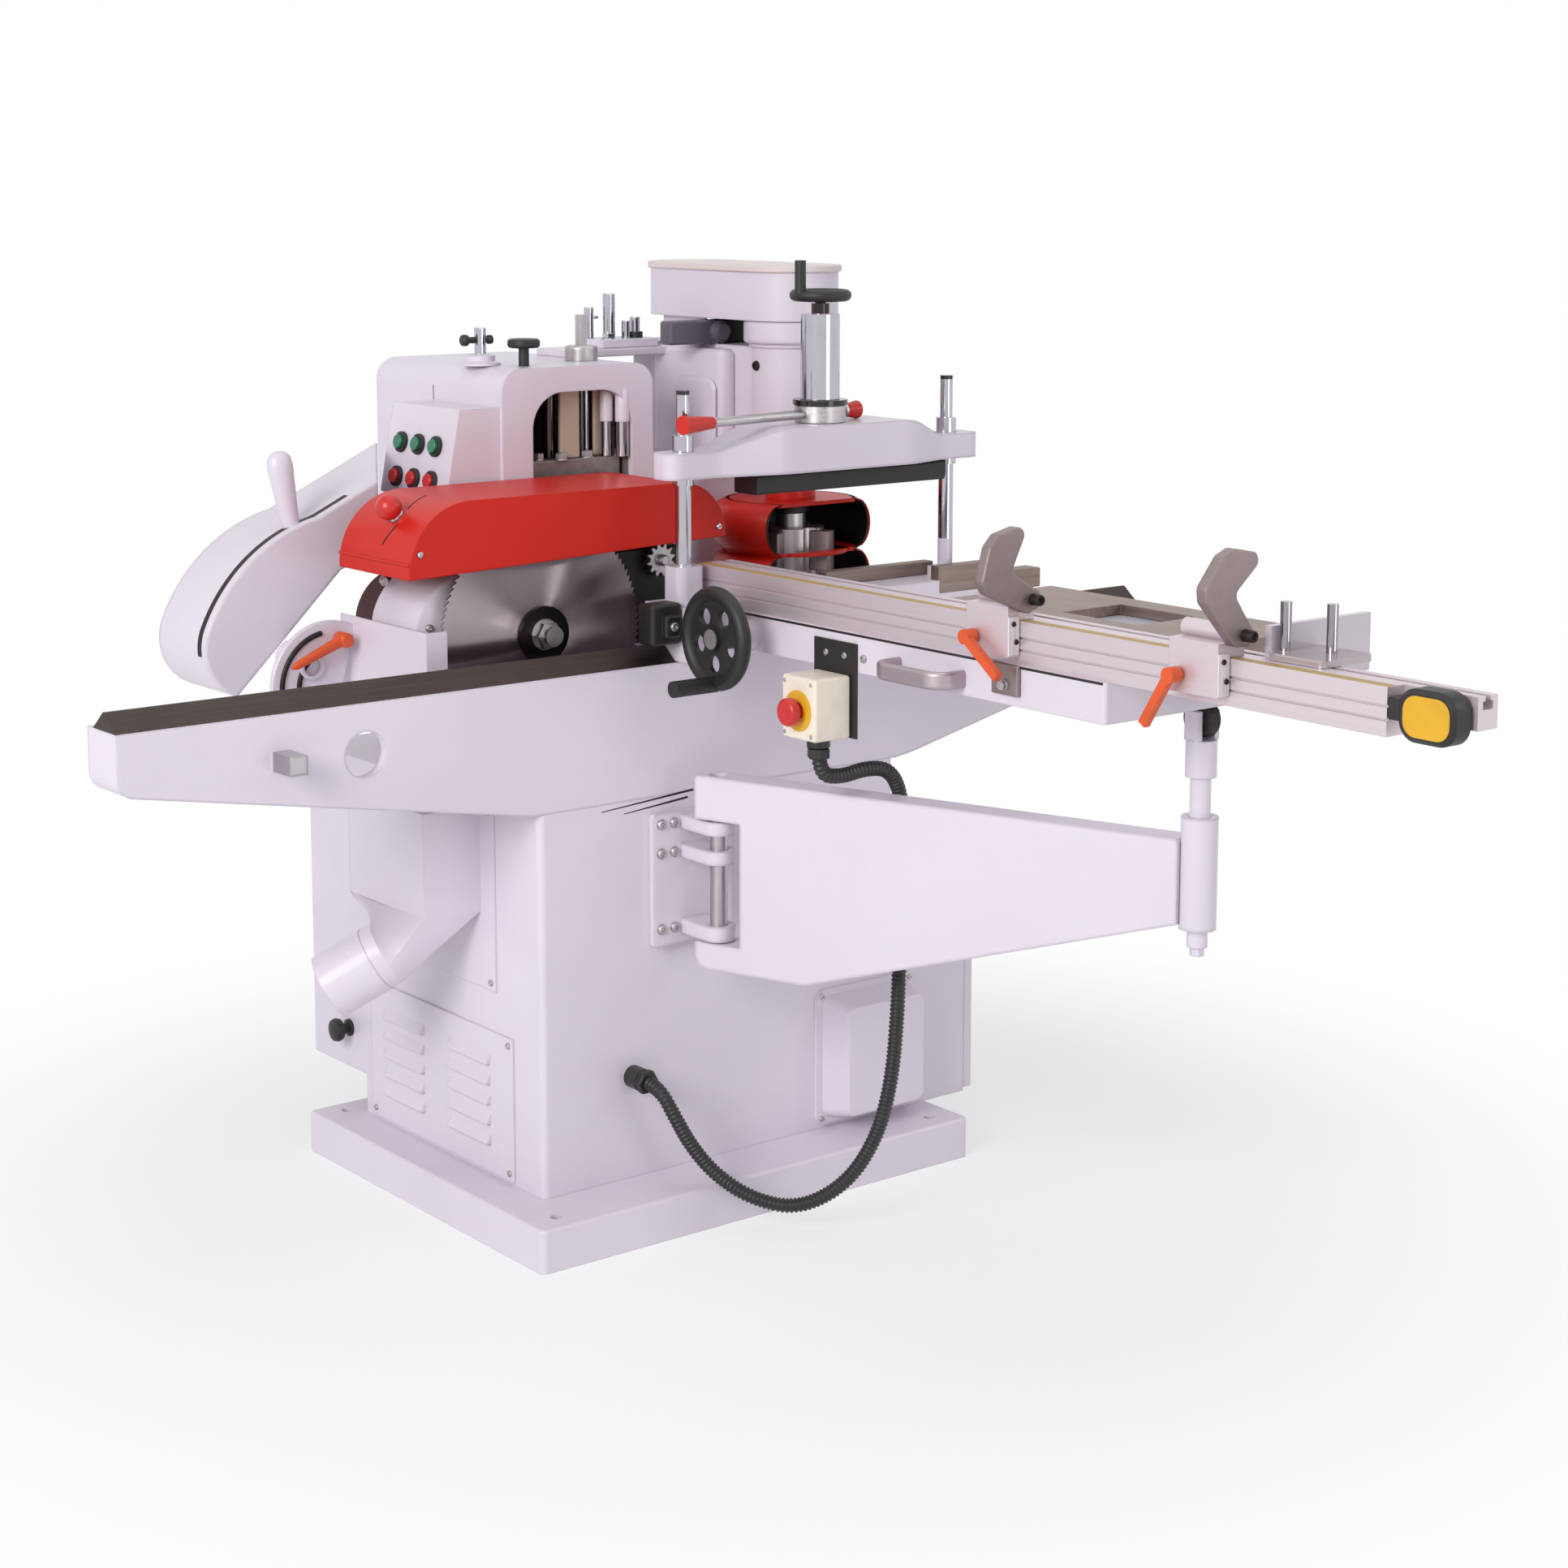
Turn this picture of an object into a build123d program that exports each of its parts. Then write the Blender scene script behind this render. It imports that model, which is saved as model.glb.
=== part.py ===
from build123d import *

import os
from math import cos, hypot, radians, sin, tan

# Single-end tenoner, in millimetres. X runs along the guide rail, the operator stands on
# the -Y side and Z is up. The origin is the centre of the plinth's underside.

# Fits between moving pieces
RUN = 0.05
GAP = 0.4
EDGE_BREAK = 2

# Plinth and cabinet
PLINTH_X, PLINTH_Y, PLINTH_Z = 812, 675, 65
PLINTH_EDGE = 5
PLINTH_FLOOR, PLINTH_RIM = 25, 40
ANCHOR_X, ANCHOR_Y, ANCHOR_R = 712, 600, 9
WALL = 10
CAB_X = (-334, 327)
CAB_Y = (-234, 281)
CAB_TOP = 640
REAR_Y, REAR_LOW = 446, 127
ELEC_X, ELEC_Y, ELEC_TOP = (327, 487), (-234, 200), 420
DOOR_T, DOOR_LAP, DOOR_HINGE_R = 16, 4, 7
DOOR_KNUCKLES = ((110, 160), (325, 375))
CABLE_HOLE_R, CABLE_HOLE_Y, CABLE_HOLE_Z = 20, 60, 300

# Louvred panel on the left face
LOUVRE_Y, LOUVRE_Z, LOUVRE_T = (-160, 252), (70, 290), 3
LOUVRE_LAP = 14
LOUVRE_COLS, LOUVRE_ROWS, LOUVRE_PITCH = (-42, 146), 5, 31
LOUVRE_LOW, LOUVRE_LONG, LOUVRE_TALL, LOUVRE_OUT = 114, 112, 15, 8

# Dust hood with its slanted spout
DUST_X, DUST_Y, DUST_Z = (-434, -334), (-78, 138), (470, 628)
DUST_FLANGE_Y, DUST_FLANGE_Z, DUST_T = (-116, 176), (352, 634), 3
SPOUT_R, SPOUT_LONG, SPOUT_NECK, SPOUT_STEP = 50, 80, 20, 1
SPOUT_ROOT = (-465, -24, 416)
SPOUT_AXIS = (-0.71, 0.48, -0.51)

# Terminal cover, hose gland
COVER_X, COVER_Z, COVER_DEEP = (174, 374), (72, 290), 58
COVER_FLANGE, COVER_TAPER, COVER_R, COVER_SKIN = 6, 22, 16, 4
GLAND_X, GLAND_Z, GLAND_R, GLAND_OUT = -174, 222, 17, 28

# Bed casting and guide rail
BED_X, BED_Y, BED_TOP = (-982, 870), (-234, -150), 837
BED_LEFT_KNEE, BED_LEFT_END, BED_END_R = (-720, 707), 754, 26
BED_RIGHT_KNEE, BED_RIGHT_TOE, BED_RIGHT_END = (584, 693), (372, 645), 746
BED_WALL = 18
HAND_HOLE = (-615, 765, 32)
STUD_X, STUD_Z, STUD_SIDE, STUD_OUT = -745, 774, 26, 50
RAIL_Y, RAIL_APEX_Y, RAIL_APEX_Z, RAIL_FLAT = (-233, -167), -200, 862, 4

# Swing arm and its hinge
PIN_X, PIN_Y, PIN_R, PIN_Z = -68, -308, 13, (392, 668)
HINGE_PLATE_X, HINGE_PLATE_Z, HINGE_PLATE_T = (-142, 6), (414, 616), 12
LUGS = ((590, 610), (546, 566), (430, 452))
LUG_R = 24
ARM_ANGLE = 20
ARM_LONG, ARM_T, ARM_SKIN = 760, 50, 6
ARM_ROOT, ARM_TOP, ARM_LOW = -26, 678, 389
ARM_KNEE, ARM_END, ARM_END_LOW = 162, 740, 562
JAW_NOTCH, JAW_Z = 52, (428, 614)
TIP_R, TIP_Z = 25, (555, 708)
POST_R, POST_Z = 14, (530, 762)
SLEEVE_R, SLEEVE_Z = 21, (762, 812)
FORK_T, FORK_GAP, FORK_TOP = 8, 24, 852
ROLLER_R, ROLLER_W, AXLE_R = 25, 22, 6
SCREW_HEX_R, SCREW_Z = 10, (518, 530)

# Carriage: saddle, beam, table
SADDLE_X, SADDLE_Y, SADDLE_Z = (-90, 500), (-262, -153), (839, 919)
BEAM_X, BEAM_Y, BEAM_Z, BEAM_WALL = (-36, 235), (-1070, -262), (865, 919), 7
TRACK_GAP = 0.3
PROFILE_X, PROFILE_Y, PROFILE_Z = (-30, 34), (-1513, -205), (919, 977)
NOSE_X, NOSE_Y, NOSE_Z = (0, 34), (-1617, -1513), (938, 977)
SLOT_X, SLOT_NECK, SLOT_HEAD, SLOT_DEEP, SLOT_LIP = 17, 10, 18, 16, 6
GROOVES_Z, GROOVE_W, GROOVE_DEEP = (937, 953), 3, 3
TABLE_X, TABLE_Y, TABLE_Z, TABLE_SKIN = (34.5, 222), (-1190, -700), (919, 977), 14
WINDOW_X, WINDOW_Y = (66, 176), (-1024, -884)

# Clamp frame over the saddle
POSTS_X, POSTS_Y = (-64, 451), -218
CLAMP_POST_R, CLAMP_TIP_R, CLAMP_TIP_Z = 12, 10, (1170, 1236)
FERRULE_R, FERRULE_Z = 16, (1146, 1170)
POST_BASE, POST_BASE_TOP, POST_BASE_R = 48, (978, 934), 14
BRIDGE_X, BRIDGE_Z, BRIDGE_MID = (-108, 500), (1107, 1146), 1176
BRIDGE_RISE, BRIDGE_FALL = (-20, 88), (340, 412)
BRIDGE_END_W, BRIDGE_MID_W, BRIDGE_END_R, BRIDGE_BEND_R = 58, 108, 22, 100
CYL_X, CYL_R, CYL_Z = 195, 30, (1176, 1340)
CYL_STEM_R, CYL_STEM_Z = 14, (1340, 1356)
RING_R, RING_Z = 42, (1203, 1211)
RAM_R, RAM_TOP = 12, 1290
BAR_X, BAR_W, BAR_Z = (52, 424), 56, (1076, 1104)
LEVER_Z, LEVER_HUB_R, LEVER_HUB_Z = 1190, 39, (1177, 1202)
LEVER_ROD_R, LEVER_LONG, LEVER_SHORT, LEVER_TURN = 7, 300, 84, 9.5
LEVER_GRIP, LEVER_GRIP_R = 62, 14
TOP_WHEEL_R, TOP_WHEEL_Z, TOP_WHEEL_RIM = 47, 1368, 9
TOP_GRIP_AT, TOP_GRIP_R, TOP_GRIP_TOP = 39, 8.5, 1421
TOP_STEM_R, TOP_STEM_LOW = 8, 1318

# Side handwheel, pull handle, emergency stop
WHEEL_X, WHEEL_Y, WHEEL_Z = -100, -345, 888
WHEEL_R, WHEEL_RIM_R, WHEEL_HUB_R, WHEEL_SHAFT_R = 76, 11, 17, 10
WHEEL_WINDOW_R, WHEEL_WINDOW_AT, WHEEL_WINDOWS, WHEEL_WEB = 13, 37, 5, 8
WHEEL_BOSS_R, WHEEL_BOSS_OUT = 22, 16
CRANK_AT, CRANK_R, CRANK_LONG = 66, 12, 78
BOW_Y, BOW_Z, BOW_OUT, BOW_BEND = (-804, -674), 887, 44, 24
BOW_T, BOW_TALL, BOW_EDGE = 13, 24, 5
STOP_PLATE_Y, STOP_PLATE_Z, STOP_PLATE_T = (-587, -494), (771, 905), 3
STOP_BOX_X, STOP_BOX_Y, STOP_BOX_Z, STOP_BOX_R = (-104, -39), (-576, -502), (771, 860), 5
STOP_GLAND_X, STOP_GLAND_Y, STOP_GLAND_LOW, STOP_GLAND_R = -72, -545, 758.4, 16.5
MUSHROOM_Y, MUSHROOM_Z, MUSHROOM_R, MUSHROOM_T = -539, 812, 20, 13
MUSHROOM_STEM_R, MUSHROOM_OUT, MUSHROOM_IN = 11, 12, 12

# Flip stops on the table profile
STOP_AT = (-865, -1232)
STOP_LONG, STOP_FACE_X, STOP_Z = 80, -50, (930, 996)
STOP_TOP_X, STOP_TOP_LOW = -4, 977.6
PIVOT_X, PIVOT_Z, PIVOT_R, PIVOT_BOSS_R, PIVOT_OUT = -20, 1006, 6, 11, 12
WING_T, WING_TURN, WING_HUB_R, WING_ROUND = 15, (24, 0), 14, 10
WING_SHAPE = (
    (19, -4), (-20, 51), (22, 86), (16, 99), (-20, 106), (-40, 98), (-70, 62), (-68, 44), (-14, -15),
)
LOCK_Z, LOCK_LEAD, LOCK_HUB_R, LOCK_LONG = 952, 22, 10, 78
LOCK_X, LOCK_STUD_R, LOCK_TIP_R = (-72, -54), 5, 6
LOCK_TURN = (-144, -58)

# Mitre stop near the free end of the table
MITRE_X, MITRE_Y, MITRE_Z = (0, 92), (-1392, -1302), (977.5, 986)
MITRE_PIVOT, MITRE_BOLT_R, MITRE_BOLT_LOW = (17, -1320), 4.5, 966
MITRE_PINS, MITRE_PIN_R, MITRE_PIN_TOP = ((25, -1311), (52, -1360)), 7, 1046
FENCE_X, FENCE_Y, FENCE_TOP = (10, 190), (-1302, -1292), 1016
FENCE_DROP_X, FENCE_LOW = 80, 944

# Cut-off saw
SAW_X, SAW_Y, SAW_Z, SAW_R, SAW_T = -245, -110, 880, 175, 3.2
SAW_TEETH, TOOTH_DEEP, TOOTH_BACK = 108, 5, 1
ARBOR_R, ARBOR_Y = 15, (-146, 40)
FLANGE_R, FLANGE_T, NUT_R = 42, 9, 21
HOUSING_R, HOUSING_Y = 66, (-92, 48)
PEDESTAL_X, PEDESTAL_Y = (-312, -186), (-40, 46)
SIDE_X, SIDE_Y, SIDE_Z, SIDE_T, SIDE_FLANGE = -457, (-140, 103), (792, 905), 3, 32
HOOD_X, HOOD_Y, HOOD_LOW, HOOD_TOP, HOOD_T = (-492, 66), (-150, 46), 1005, 1091, 3
HOOD_FLAP_LOW, HOOD_LEFT_R, HOOD_RIGHT_R = 984, 104, 84
HOOD_PAD_X, HOOD_PAD_Z = (-200, -156), (1012, 1080)
HOOD_BACK_WINDOW_X, HOOD_BACK_WINDOW_Z = (-80, 20), (1000, 1084)
KNOB_R, KNOB_STEM_R, KNOB_OUT = 19, 5, 34
KNOB_ANGLE, KNOB_Y = 132, -62

# Head column, tenoning head and its screw
COL_X, COL_Y, COL_TOP, COL_ROUND, COL_WALL = (-205, 75), (50, 446), 1258, 34, 20
ARCH_X, ARCH_Z, ARCH_DEEP, ARCH_R = (-150, 34), (760, 1219), 210, 56
RODS, ROD_R = ((-80, 112), (-37, 112)), 13
HEAD_X, HEAD_Y, HEAD_Z = (-142, 30), (72, 190), (996, 1112)
NOSE_R, NOSE_LOW_Y = 24, 8
CUT_X, CUT_Z, CUT_R, CUT_Y = -30, 1046, 37, (-112, 4)
CUT_SHAFT_R, CUT_SHAFT_END = 12, 60
CRANK_X, CRANK_Y, CRANK_SCREW_R, CRANK_LOW, CRANK_TOP = 8, 150, 9, 1000, 1330
CRANK_SQUARE, CRANK_COLLAR_R, CRANK_COLLAR_Z = 13, 26, (1258.4, 1282)
LOCK_KNOB_X, LOCK_KNOB_Y, LOCK_KNOB_R, LOCK_KNOB_Z = -137, 93, 25, (1286, 1300)
LOCK_STEM_R, LOCK_STEM_LOW = 8, 1236

# Belt guard
GUARD_Y = (110, 258)
GUARD_TIP, GUARD_SHOULDER, GUARD_CROWN = (-304, 1137), (-490, 1049), (-612, 985)
GUARD_LEFT, GUARD_HEEL, GUARD_TOE = (-672, 900), (-668, 830), (-628, 796)
GUARD_KNEE, GUARD_UNDER = (-452, 968), (-304, 1012)
GUARD_END_AT, GUARD_END_FACES, GUARD_HOLLOW_X = (-384, 116), (0.864, -0.504), (-680, -396)
GUARD_SKIN = 4
GUARD_BRACKET_X, GUARD_BRACKET_Y, GUARD_BRACKET_Z = -372, (140, 250), (1016, 1056)
PADDLE_AT, PADDLE_LONG, PADDLE_LEAN = (-523, 132, 1034), 108, (-0.17, 0, 1)
PADDLE_R, PADDLE_NECK_R = 14, 10.5

# Control panel and its buttons
PANEL_Y, PANEL_Z = (58, 250), (1062, 1200)
PANEL_LOW_X, PANEL_HIGH_X, PANEL_SKIN = -302, -276, 5
BUTTONS_Y, BUTTON_ROWS = (206, 156, 106), (1142, 1090)
BUTTON_R, BUTTON_OUT, BUTTON_IN = 11, 11, 14
BUTTON_COLOURS = ("start", "stop")

# Coping head
SPIN_X, SPIN_Y, SPIN_R = 295, -20, 15
COPE_X, COPE_Y, COPE_TOP, COPE_FOOT_X = (215, 375), (128, 306), 1278, (215, 326)
COPE_FOOT_TOP = 1040
NECK_X, NECK_Z = (236, 354), (1092, 1278)
QUILL_R = 64
BELT_R, BELT_Z, BELT_END_Y, BELT_LID = 76, (1320, 1405), 230, 12
BELT_RING_R = 67
COPE_GUARD_R, COPE_MOUTH_R, COPE_GUARD_Z = 130, 82, (872, 954, 1036)
COPE_GUARD_SKIN, COPE_COLLAR_R, COPE_BORE_R = 6, 40, 34
COPE_RIM_R, COPE_WAIST_R, COPE_BEVEL = 112, 112, 18
COPE_OPEN_Y = -92
SPIN_Z = (900, 1250)
BLOCK_R, BLOCK_Z, GULLET_R, GULLETS = 54, (915, 990), 15, 4
SPIN_NUT_R, SPIN_NUT_Z = 24, (990, 1012)

# Motor of the saw, inside the cabinet
MOTOR_X, MOTOR_Y, MOTOR_Z, MOTOR_R = -120, (-90, 200), 330, 95
MOTOR_BASE_X, MOTOR_BASE_Y = (-200, -40), (-60, 170)
MOTOR_SHAFT_R, MOTOR_SHAFT_OUT = 14, 60

# Ribbed hose from the emergency stop, over the swing arm and down to the cabinet
HOSE_R, HOSE_ROOT_R, HOSE_BORE_R, RIBS = 11, 9.4, 7.5, 190
HOSE_STEADY, CORNER_SHARE = (0, 1, 0), 0.45
RIB_SHAPE = ((0, HOSE_ROOT_R), (0.25, HOSE_R), (0.6, HOSE_R), (0.85, HOSE_ROOT_R))
HOSE_ROUTE = (
    (-72, -545, 758), (-72, -545, 718), (-31, -546, 710), (12, -547, 717), (54, -547, 711),
    (80, -543, 678), (87, -540, 630), (89, -538, 560), (88, -537, 455), (85, -536, 345),
    (79, -531, 240), (64, -516, 152), (34, -482, 78), (-14, -430, 36), (-62, -380, 48),
    (-104, -348, 84), (-136, -330, 130), (-160, -322, 178), (-174, -302, 222), (-174, -262, 222),
)


def block(x, y, z, mode=Mode.ADD):
    """A box between three (low, high) pairs."""
    with Locations(((x[0] + x[1]) / 2, (y[0] + y[1]) / 2, (z[0] + z[1]) / 2)):
        return Box(x[1] - x[0], y[1] - y[0], z[1] - z[0], mode=mode)


def rod_x(y, z, x, radius, mode=Mode.ADD):
    """A round bar along X between the (low, high) pair x."""
    with Locations(((x[0] + x[1]) / 2, y, z)):
        return Cylinder(radius, x[1] - x[0], rotation=(0, 90, 0), mode=mode)


def rod_y(x, z, y, radius, mode=Mode.ADD):
    """A round bar along Y between the (low, high) pair y."""
    with Locations((x, (y[0] + y[1]) / 2, z)):
        return Cylinder(radius, y[1] - y[0], rotation=(90, 0, 0), mode=mode)


def rod_z(x, y, z, radius, mode=Mode.ADD):
    """A round bar along Z between the (low, high) pair z."""
    with Locations((x, y, (z[0] + z[1]) / 2)):
        return Cylinder(radius, z[1] - z[0], mode=mode)


def save(builder, name):
    """Label a finished piece and write it to its own file."""
    builder.part.label = name
    export_step(builder.part, f"parts/{name}.step")


os.makedirs("parts", exist_ok=True)

# Plinth: a slab with anchor holes, recessed under the cabinet
with BuildPart() as plinth:
    block((-PLINTH_X / 2, PLINTH_X / 2), (-PLINTH_Y / 2, PLINTH_Y / 2), (0, PLINTH_Z))
    fillet(plinth.edges().filter_by(Axis.Z), 2 * PLINTH_EDGE)
    fillet(plinth.faces().sort_by(Axis.Z)[-1].edges(), PLINTH_EDGE)
    pocket_x = (CAB_X[0] + PLINTH_RIM, CAB_X[1] - PLINTH_RIM)
    pocket_y = (CAB_Y[0] + PLINTH_RIM, CAB_Y[1] - PLINTH_RIM)
    block(pocket_x, pocket_y, (PLINTH_FLOOR, PLINTH_Z), Mode.SUBTRACT)
    with GridLocations(ANCHOR_X, ANCHOR_Y, 2, 2):
        Cylinder(ANCHOR_R, 3 * PLINTH_Z, mode=Mode.SUBTRACT)
save(plinth, "plinth")

# Cabinet: hollow casting with a rear box that overhangs and an electrical bay on the right
with BuildPart() as cabinet:
    block(CAB_X, CAB_Y, (PLINTH_Z, CAB_TOP))
    block(CAB_X, (CAB_Y[1], REAR_Y), (REAR_LOW, CAB_TOP))
    fillet(cabinet.edges().filter_by(Axis.Z).group_by(Axis.X)[0], WALL)
    block(ELEC_X, ELEC_Y, (PLINTH_Z, ELEC_TOP))
    inner_x = (CAB_X[0] + WALL, CAB_X[1] - WALL)
    block(inner_x, (CAB_Y[0] + WALL, CAB_Y[1] - WALL), (PLINTH_Z, CAB_TOP - WALL), Mode.SUBTRACT)
    block(inner_x, (CAB_Y[1] - 2 * WALL, REAR_Y - WALL), (REAR_LOW + WALL, CAB_TOP - WALL), Mode.SUBTRACT)
    bay_y = (ELEC_Y[0] + WALL, ELEC_Y[1] - WALL)
    block((ELEC_X[0] + WALL, ELEC_X[1]), bay_y, (PLINTH_Z + WALL, ELEC_TOP - WALL), Mode.SUBTRACT)
    side = (CAB_X[0], CAB_X[0] + WALL)
    louvre_hole_y = (LOUVRE_Y[0] + LOUVRE_LAP, LOUVRE_Y[1] - LOUVRE_LAP)
    louvre_hole_z = (LOUVRE_Z[0] + LOUVRE_LAP, LOUVRE_Z[1] - LOUVRE_LAP)
    block(side, louvre_hole_y, louvre_hole_z, Mode.SUBTRACT)
    block(side, (DUST_Y[0] + WALL, DUST_Y[1] - WALL), (DUST_Z[0], CAB_TOP - 2 * WALL), Mode.SUBTRACT)
    rod_y(GLAND_X, GLAND_Z, (CAB_Y[0] - GLAND_OUT, CAB_Y[0]), GLAND_R)
    rod_y(GLAND_X, GLAND_Z, (CAB_Y[0] - GLAND_OUT, CAB_Y[0] + WALL), HOSE_BORE_R, Mode.SUBTRACT)
    rod_x(CABLE_HOLE_Y, CABLE_HOLE_Z, (CAB_X[1] - 2 * WALL, CAB_X[1] + 2 * WALL), CABLE_HOLE_R, Mode.SUBTRACT)
save(cabinet, "cabinet")

# Hinged end door of the electrical bay
with BuildPart() as electrical_door:
    door_x = (ELEC_X[1] + GAP, ELEC_X[1] + DOOR_T)
    block(door_x, (ELEC_Y[0], ELEC_Y[1] - DOOR_HINGE_R), (PLINTH_Z + DOOR_LAP, ELEC_TOP))
    fillet(electrical_door.edges().filter_by(Axis.X).group_by(Axis.Y)[0], DOOR_LAP)
    for knuckle_z in DOOR_KNUCKLES:
        rod_z(ELEC_X[1] + DOOR_T, ELEC_Y[1] - DOOR_HINGE_R, knuckle_z, DOOR_HINGE_R)
save(electrical_door, "electrical_door")

# Louvred panel: a screwed plate with two columns of pressed louvres
with BuildPart() as louvre_panel:
    plate_x = (CAB_X[0] - LOUVRE_T, CAB_X[0])
    block(plate_x, LOUVRE_Y, LOUVRE_Z)
    fillet(louvre_panel.edges().filter_by(Axis.X), LOUVRE_T)
    for column in LOUVRE_COLS:
        for row in range(LOUVRE_ROWS):
            low = LOUVRE_LOW + row * LOUVRE_PITCH
            ends = (column - LOUVRE_LONG / 2, column + LOUVRE_LONG / 2)
            with BuildSketch(Plane.XZ.offset(-ends[0])):
                with BuildLine():
                    Polyline(
                        (plate_x[0], low), (plate_x[0] - LOUVRE_OUT, low),
                        (plate_x[0] - LOUVRE_OUT, low + LOUVRE_T), (plate_x[0], low + LOUVRE_TALL),
                        close=True,
                    )
                make_face()
            extrude(amount=-LOUVRE_LONG)
            slot_y = (ends[0] + LOUVRE_T, ends[1] - LOUVRE_T)
            slot_x = (plate_x[0] - LOUVRE_OUT + LOUVRE_T, CAB_X[0])
            block(slot_x, slot_y, (low, low + LOUVRE_T), Mode.SUBTRACT)
save(louvre_panel, "louvre_panel")

# Dust hood: a box under the bed that gathers into a slanted round spout
spout_plane = Plane(SPOUT_ROOT, z_dir=SPOUT_AXIS, x_dir=(0.56, 0.83, 0))
throat_plane = Plane((sum(DUST_X) / 2, sum(DUST_Y) / 2, DUST_Z[0]), x_dir=(1, 0, 0), z_dir=(0, 0, -1))
with BuildPart() as dust_hood:
    block(DUST_X, DUST_Y, DUST_Z)
    for shrink, kind in ((0, Mode.ADD), (DUST_T, Mode.SUBTRACT)):
        with BuildSketch(throat_plane):
            Rectangle(DUST_X[1] - DUST_X[0] - 2 * shrink, DUST_Y[1] - DUST_Y[0] - 2 * shrink)
        with BuildSketch(spout_plane):
            Circle(SPOUT_R - SPOUT_STEP - shrink)
        loft(mode=kind)
        with BuildSketch(spout_plane):
            Circle(SPOUT_R - SPOUT_STEP - shrink)
        extrude(amount=SPOUT_NECK, mode=kind)
        with BuildSketch(spout_plane.offset(SPOUT_NECK)):
            Circle(SPOUT_R - shrink)
        extrude(amount=SPOUT_LONG, mode=kind)
    hollow_x = (DUST_X[0] + DUST_T, DUST_X[1])
    hollow_y = (DUST_Y[0] + DUST_T, DUST_Y[1] - DUST_T)
    block(hollow_x, hollow_y, (DUST_Z[0] - DUST_T, DUST_Z[1] - DUST_T), Mode.SUBTRACT)
    block((DUST_X[1] - DUST_T, DUST_X[1]), DUST_FLANGE_Y, DUST_FLANGE_Z)
    mouth_x = (DUST_X[1] - 2 * DUST_T, DUST_X[1])
    block(mouth_x, hollow_y, (DUST_Z[0] + DUST_T, DUST_Z[1] - WALL), Mode.SUBTRACT)
save(dust_hood, "dust_hood")

# Terminal cover: a tapered lid on a screwed flange
cover_w, cover_h = COVER_X[1] - COVER_X[0], COVER_Z[1] - COVER_Z[0]
cover_at = (sum(COVER_X) / 2, CAB_Y[0], sum(COVER_Z) / 2)
cover_plane = Plane(cover_at, x_dir=(1, 0, 0), z_dir=(0, -1, 0))
with BuildPart() as terminal_cover:
    with BuildSketch(cover_plane):
        RectangleRounded(cover_w, cover_h, COVER_R)
    extrude(amount=COVER_FLANGE)
    for depth, shrink in ((COVER_FLANGE, COVER_TAPER), (COVER_DEEP, 2 * COVER_TAPER)):
        with BuildSketch(cover_plane.offset(depth)):
            RectangleRounded(cover_w - shrink, cover_h - shrink, COVER_R)
    loft()
    fillet(terminal_cover.faces().sort_by(Axis.Y)[0].edges(), PLINTH_EDGE)
    lid_margin = COVER_TAPER + COVER_SKIN
    lid_x = (COVER_X[0] + lid_margin, COVER_X[1] - lid_margin)
    lid_z = (COVER_Z[0] + lid_margin, COVER_Z[1] - lid_margin)
    block(lid_x, (CAB_Y[0] - COVER_DEEP + COVER_SKIN, CAB_Y[0]), lid_z, Mode.SUBTRACT)
save(terminal_cover, "terminal_cover")

# Bed: a long tapered casting, open at the back, with a hand hole and a square end stop
with BuildPart() as bed:
    with BuildSketch(Plane.XZ.offset(-BED_Y[0])):
        with BuildLine():
            Polyline(
                (BED_X[0], BED_TOP), (BED_X[1], BED_TOP), (BED_X[1], BED_RIGHT_END), BED_RIGHT_KNEE,
                BED_RIGHT_TOE, (CAB_X[1] + WALL, CAB_TOP), (CAB_X[0] - WALL, CAB_TOP), BED_LEFT_KNEE,
                (BED_X[0], BED_LEFT_END), close=True,
            )
        make_face()
        for end in (0, -1):
            fillet(vertices().group_by(Axis.X)[end].sort_by(Axis.Y)[0], BED_END_R)
    extrude(amount=BED_Y[0] - BED_Y[1])
    with BuildSketch(Plane.XZ.offset(-BED_Y[1])):
        with BuildLine():
            Polyline(
                (BED_X[0] + BED_WALL, BED_TOP - BED_WALL), (BED_X[1] - BED_WALL, BED_TOP - BED_WALL),
                (BED_X[1] - BED_WALL, BED_RIGHT_END + BED_WALL),
                (BED_RIGHT_KNEE[0], BED_RIGHT_KNEE[1] + BED_WALL),
                (CAB_X[1], CAB_TOP + BED_WALL), (CAB_X[0], CAB_TOP + BED_WALL),
                (BED_LEFT_KNEE[0], BED_LEFT_KNEE[1] + BED_WALL),
                (BED_X[0] + BED_WALL, BED_LEFT_END + 2 * BED_WALL), close=True,
            )
        make_face()
    extrude(amount=BED_Y[1] - BED_Y[0] - BED_WALL, mode=Mode.SUBTRACT)
    rod_y(HAND_HOLE[0], HAND_HOLE[1], (BED_Y[0] - 1, BED_Y[0] + 2 * BED_WALL), HAND_HOLE[2], Mode.SUBTRACT)
    half = STUD_SIDE / 2
    block((STUD_X - half, STUD_X + half), (BED_Y[0] - STUD_OUT, BED_Y[0]), (STUD_Z - half, STUD_Z + half))
save(bed, "bed")

# Guide rail: an upturned vee along the whole bed
with BuildPart() as guide_rail:
    with BuildSketch(Plane.YZ.offset(BED_X[0])):
        with BuildLine():
            Polyline(
                (RAIL_Y[0], BED_TOP), (RAIL_APEX_Y - RAIL_FLAT / 2, RAIL_APEX_Z),
                (RAIL_APEX_Y + RAIL_FLAT / 2, RAIL_APEX_Z), (RAIL_Y[1], BED_TOP), close=True,
            )
        make_face()
    extrude(amount=BED_X[1] - BED_X[0])
save(guide_rail, "guide_rail")

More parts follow.
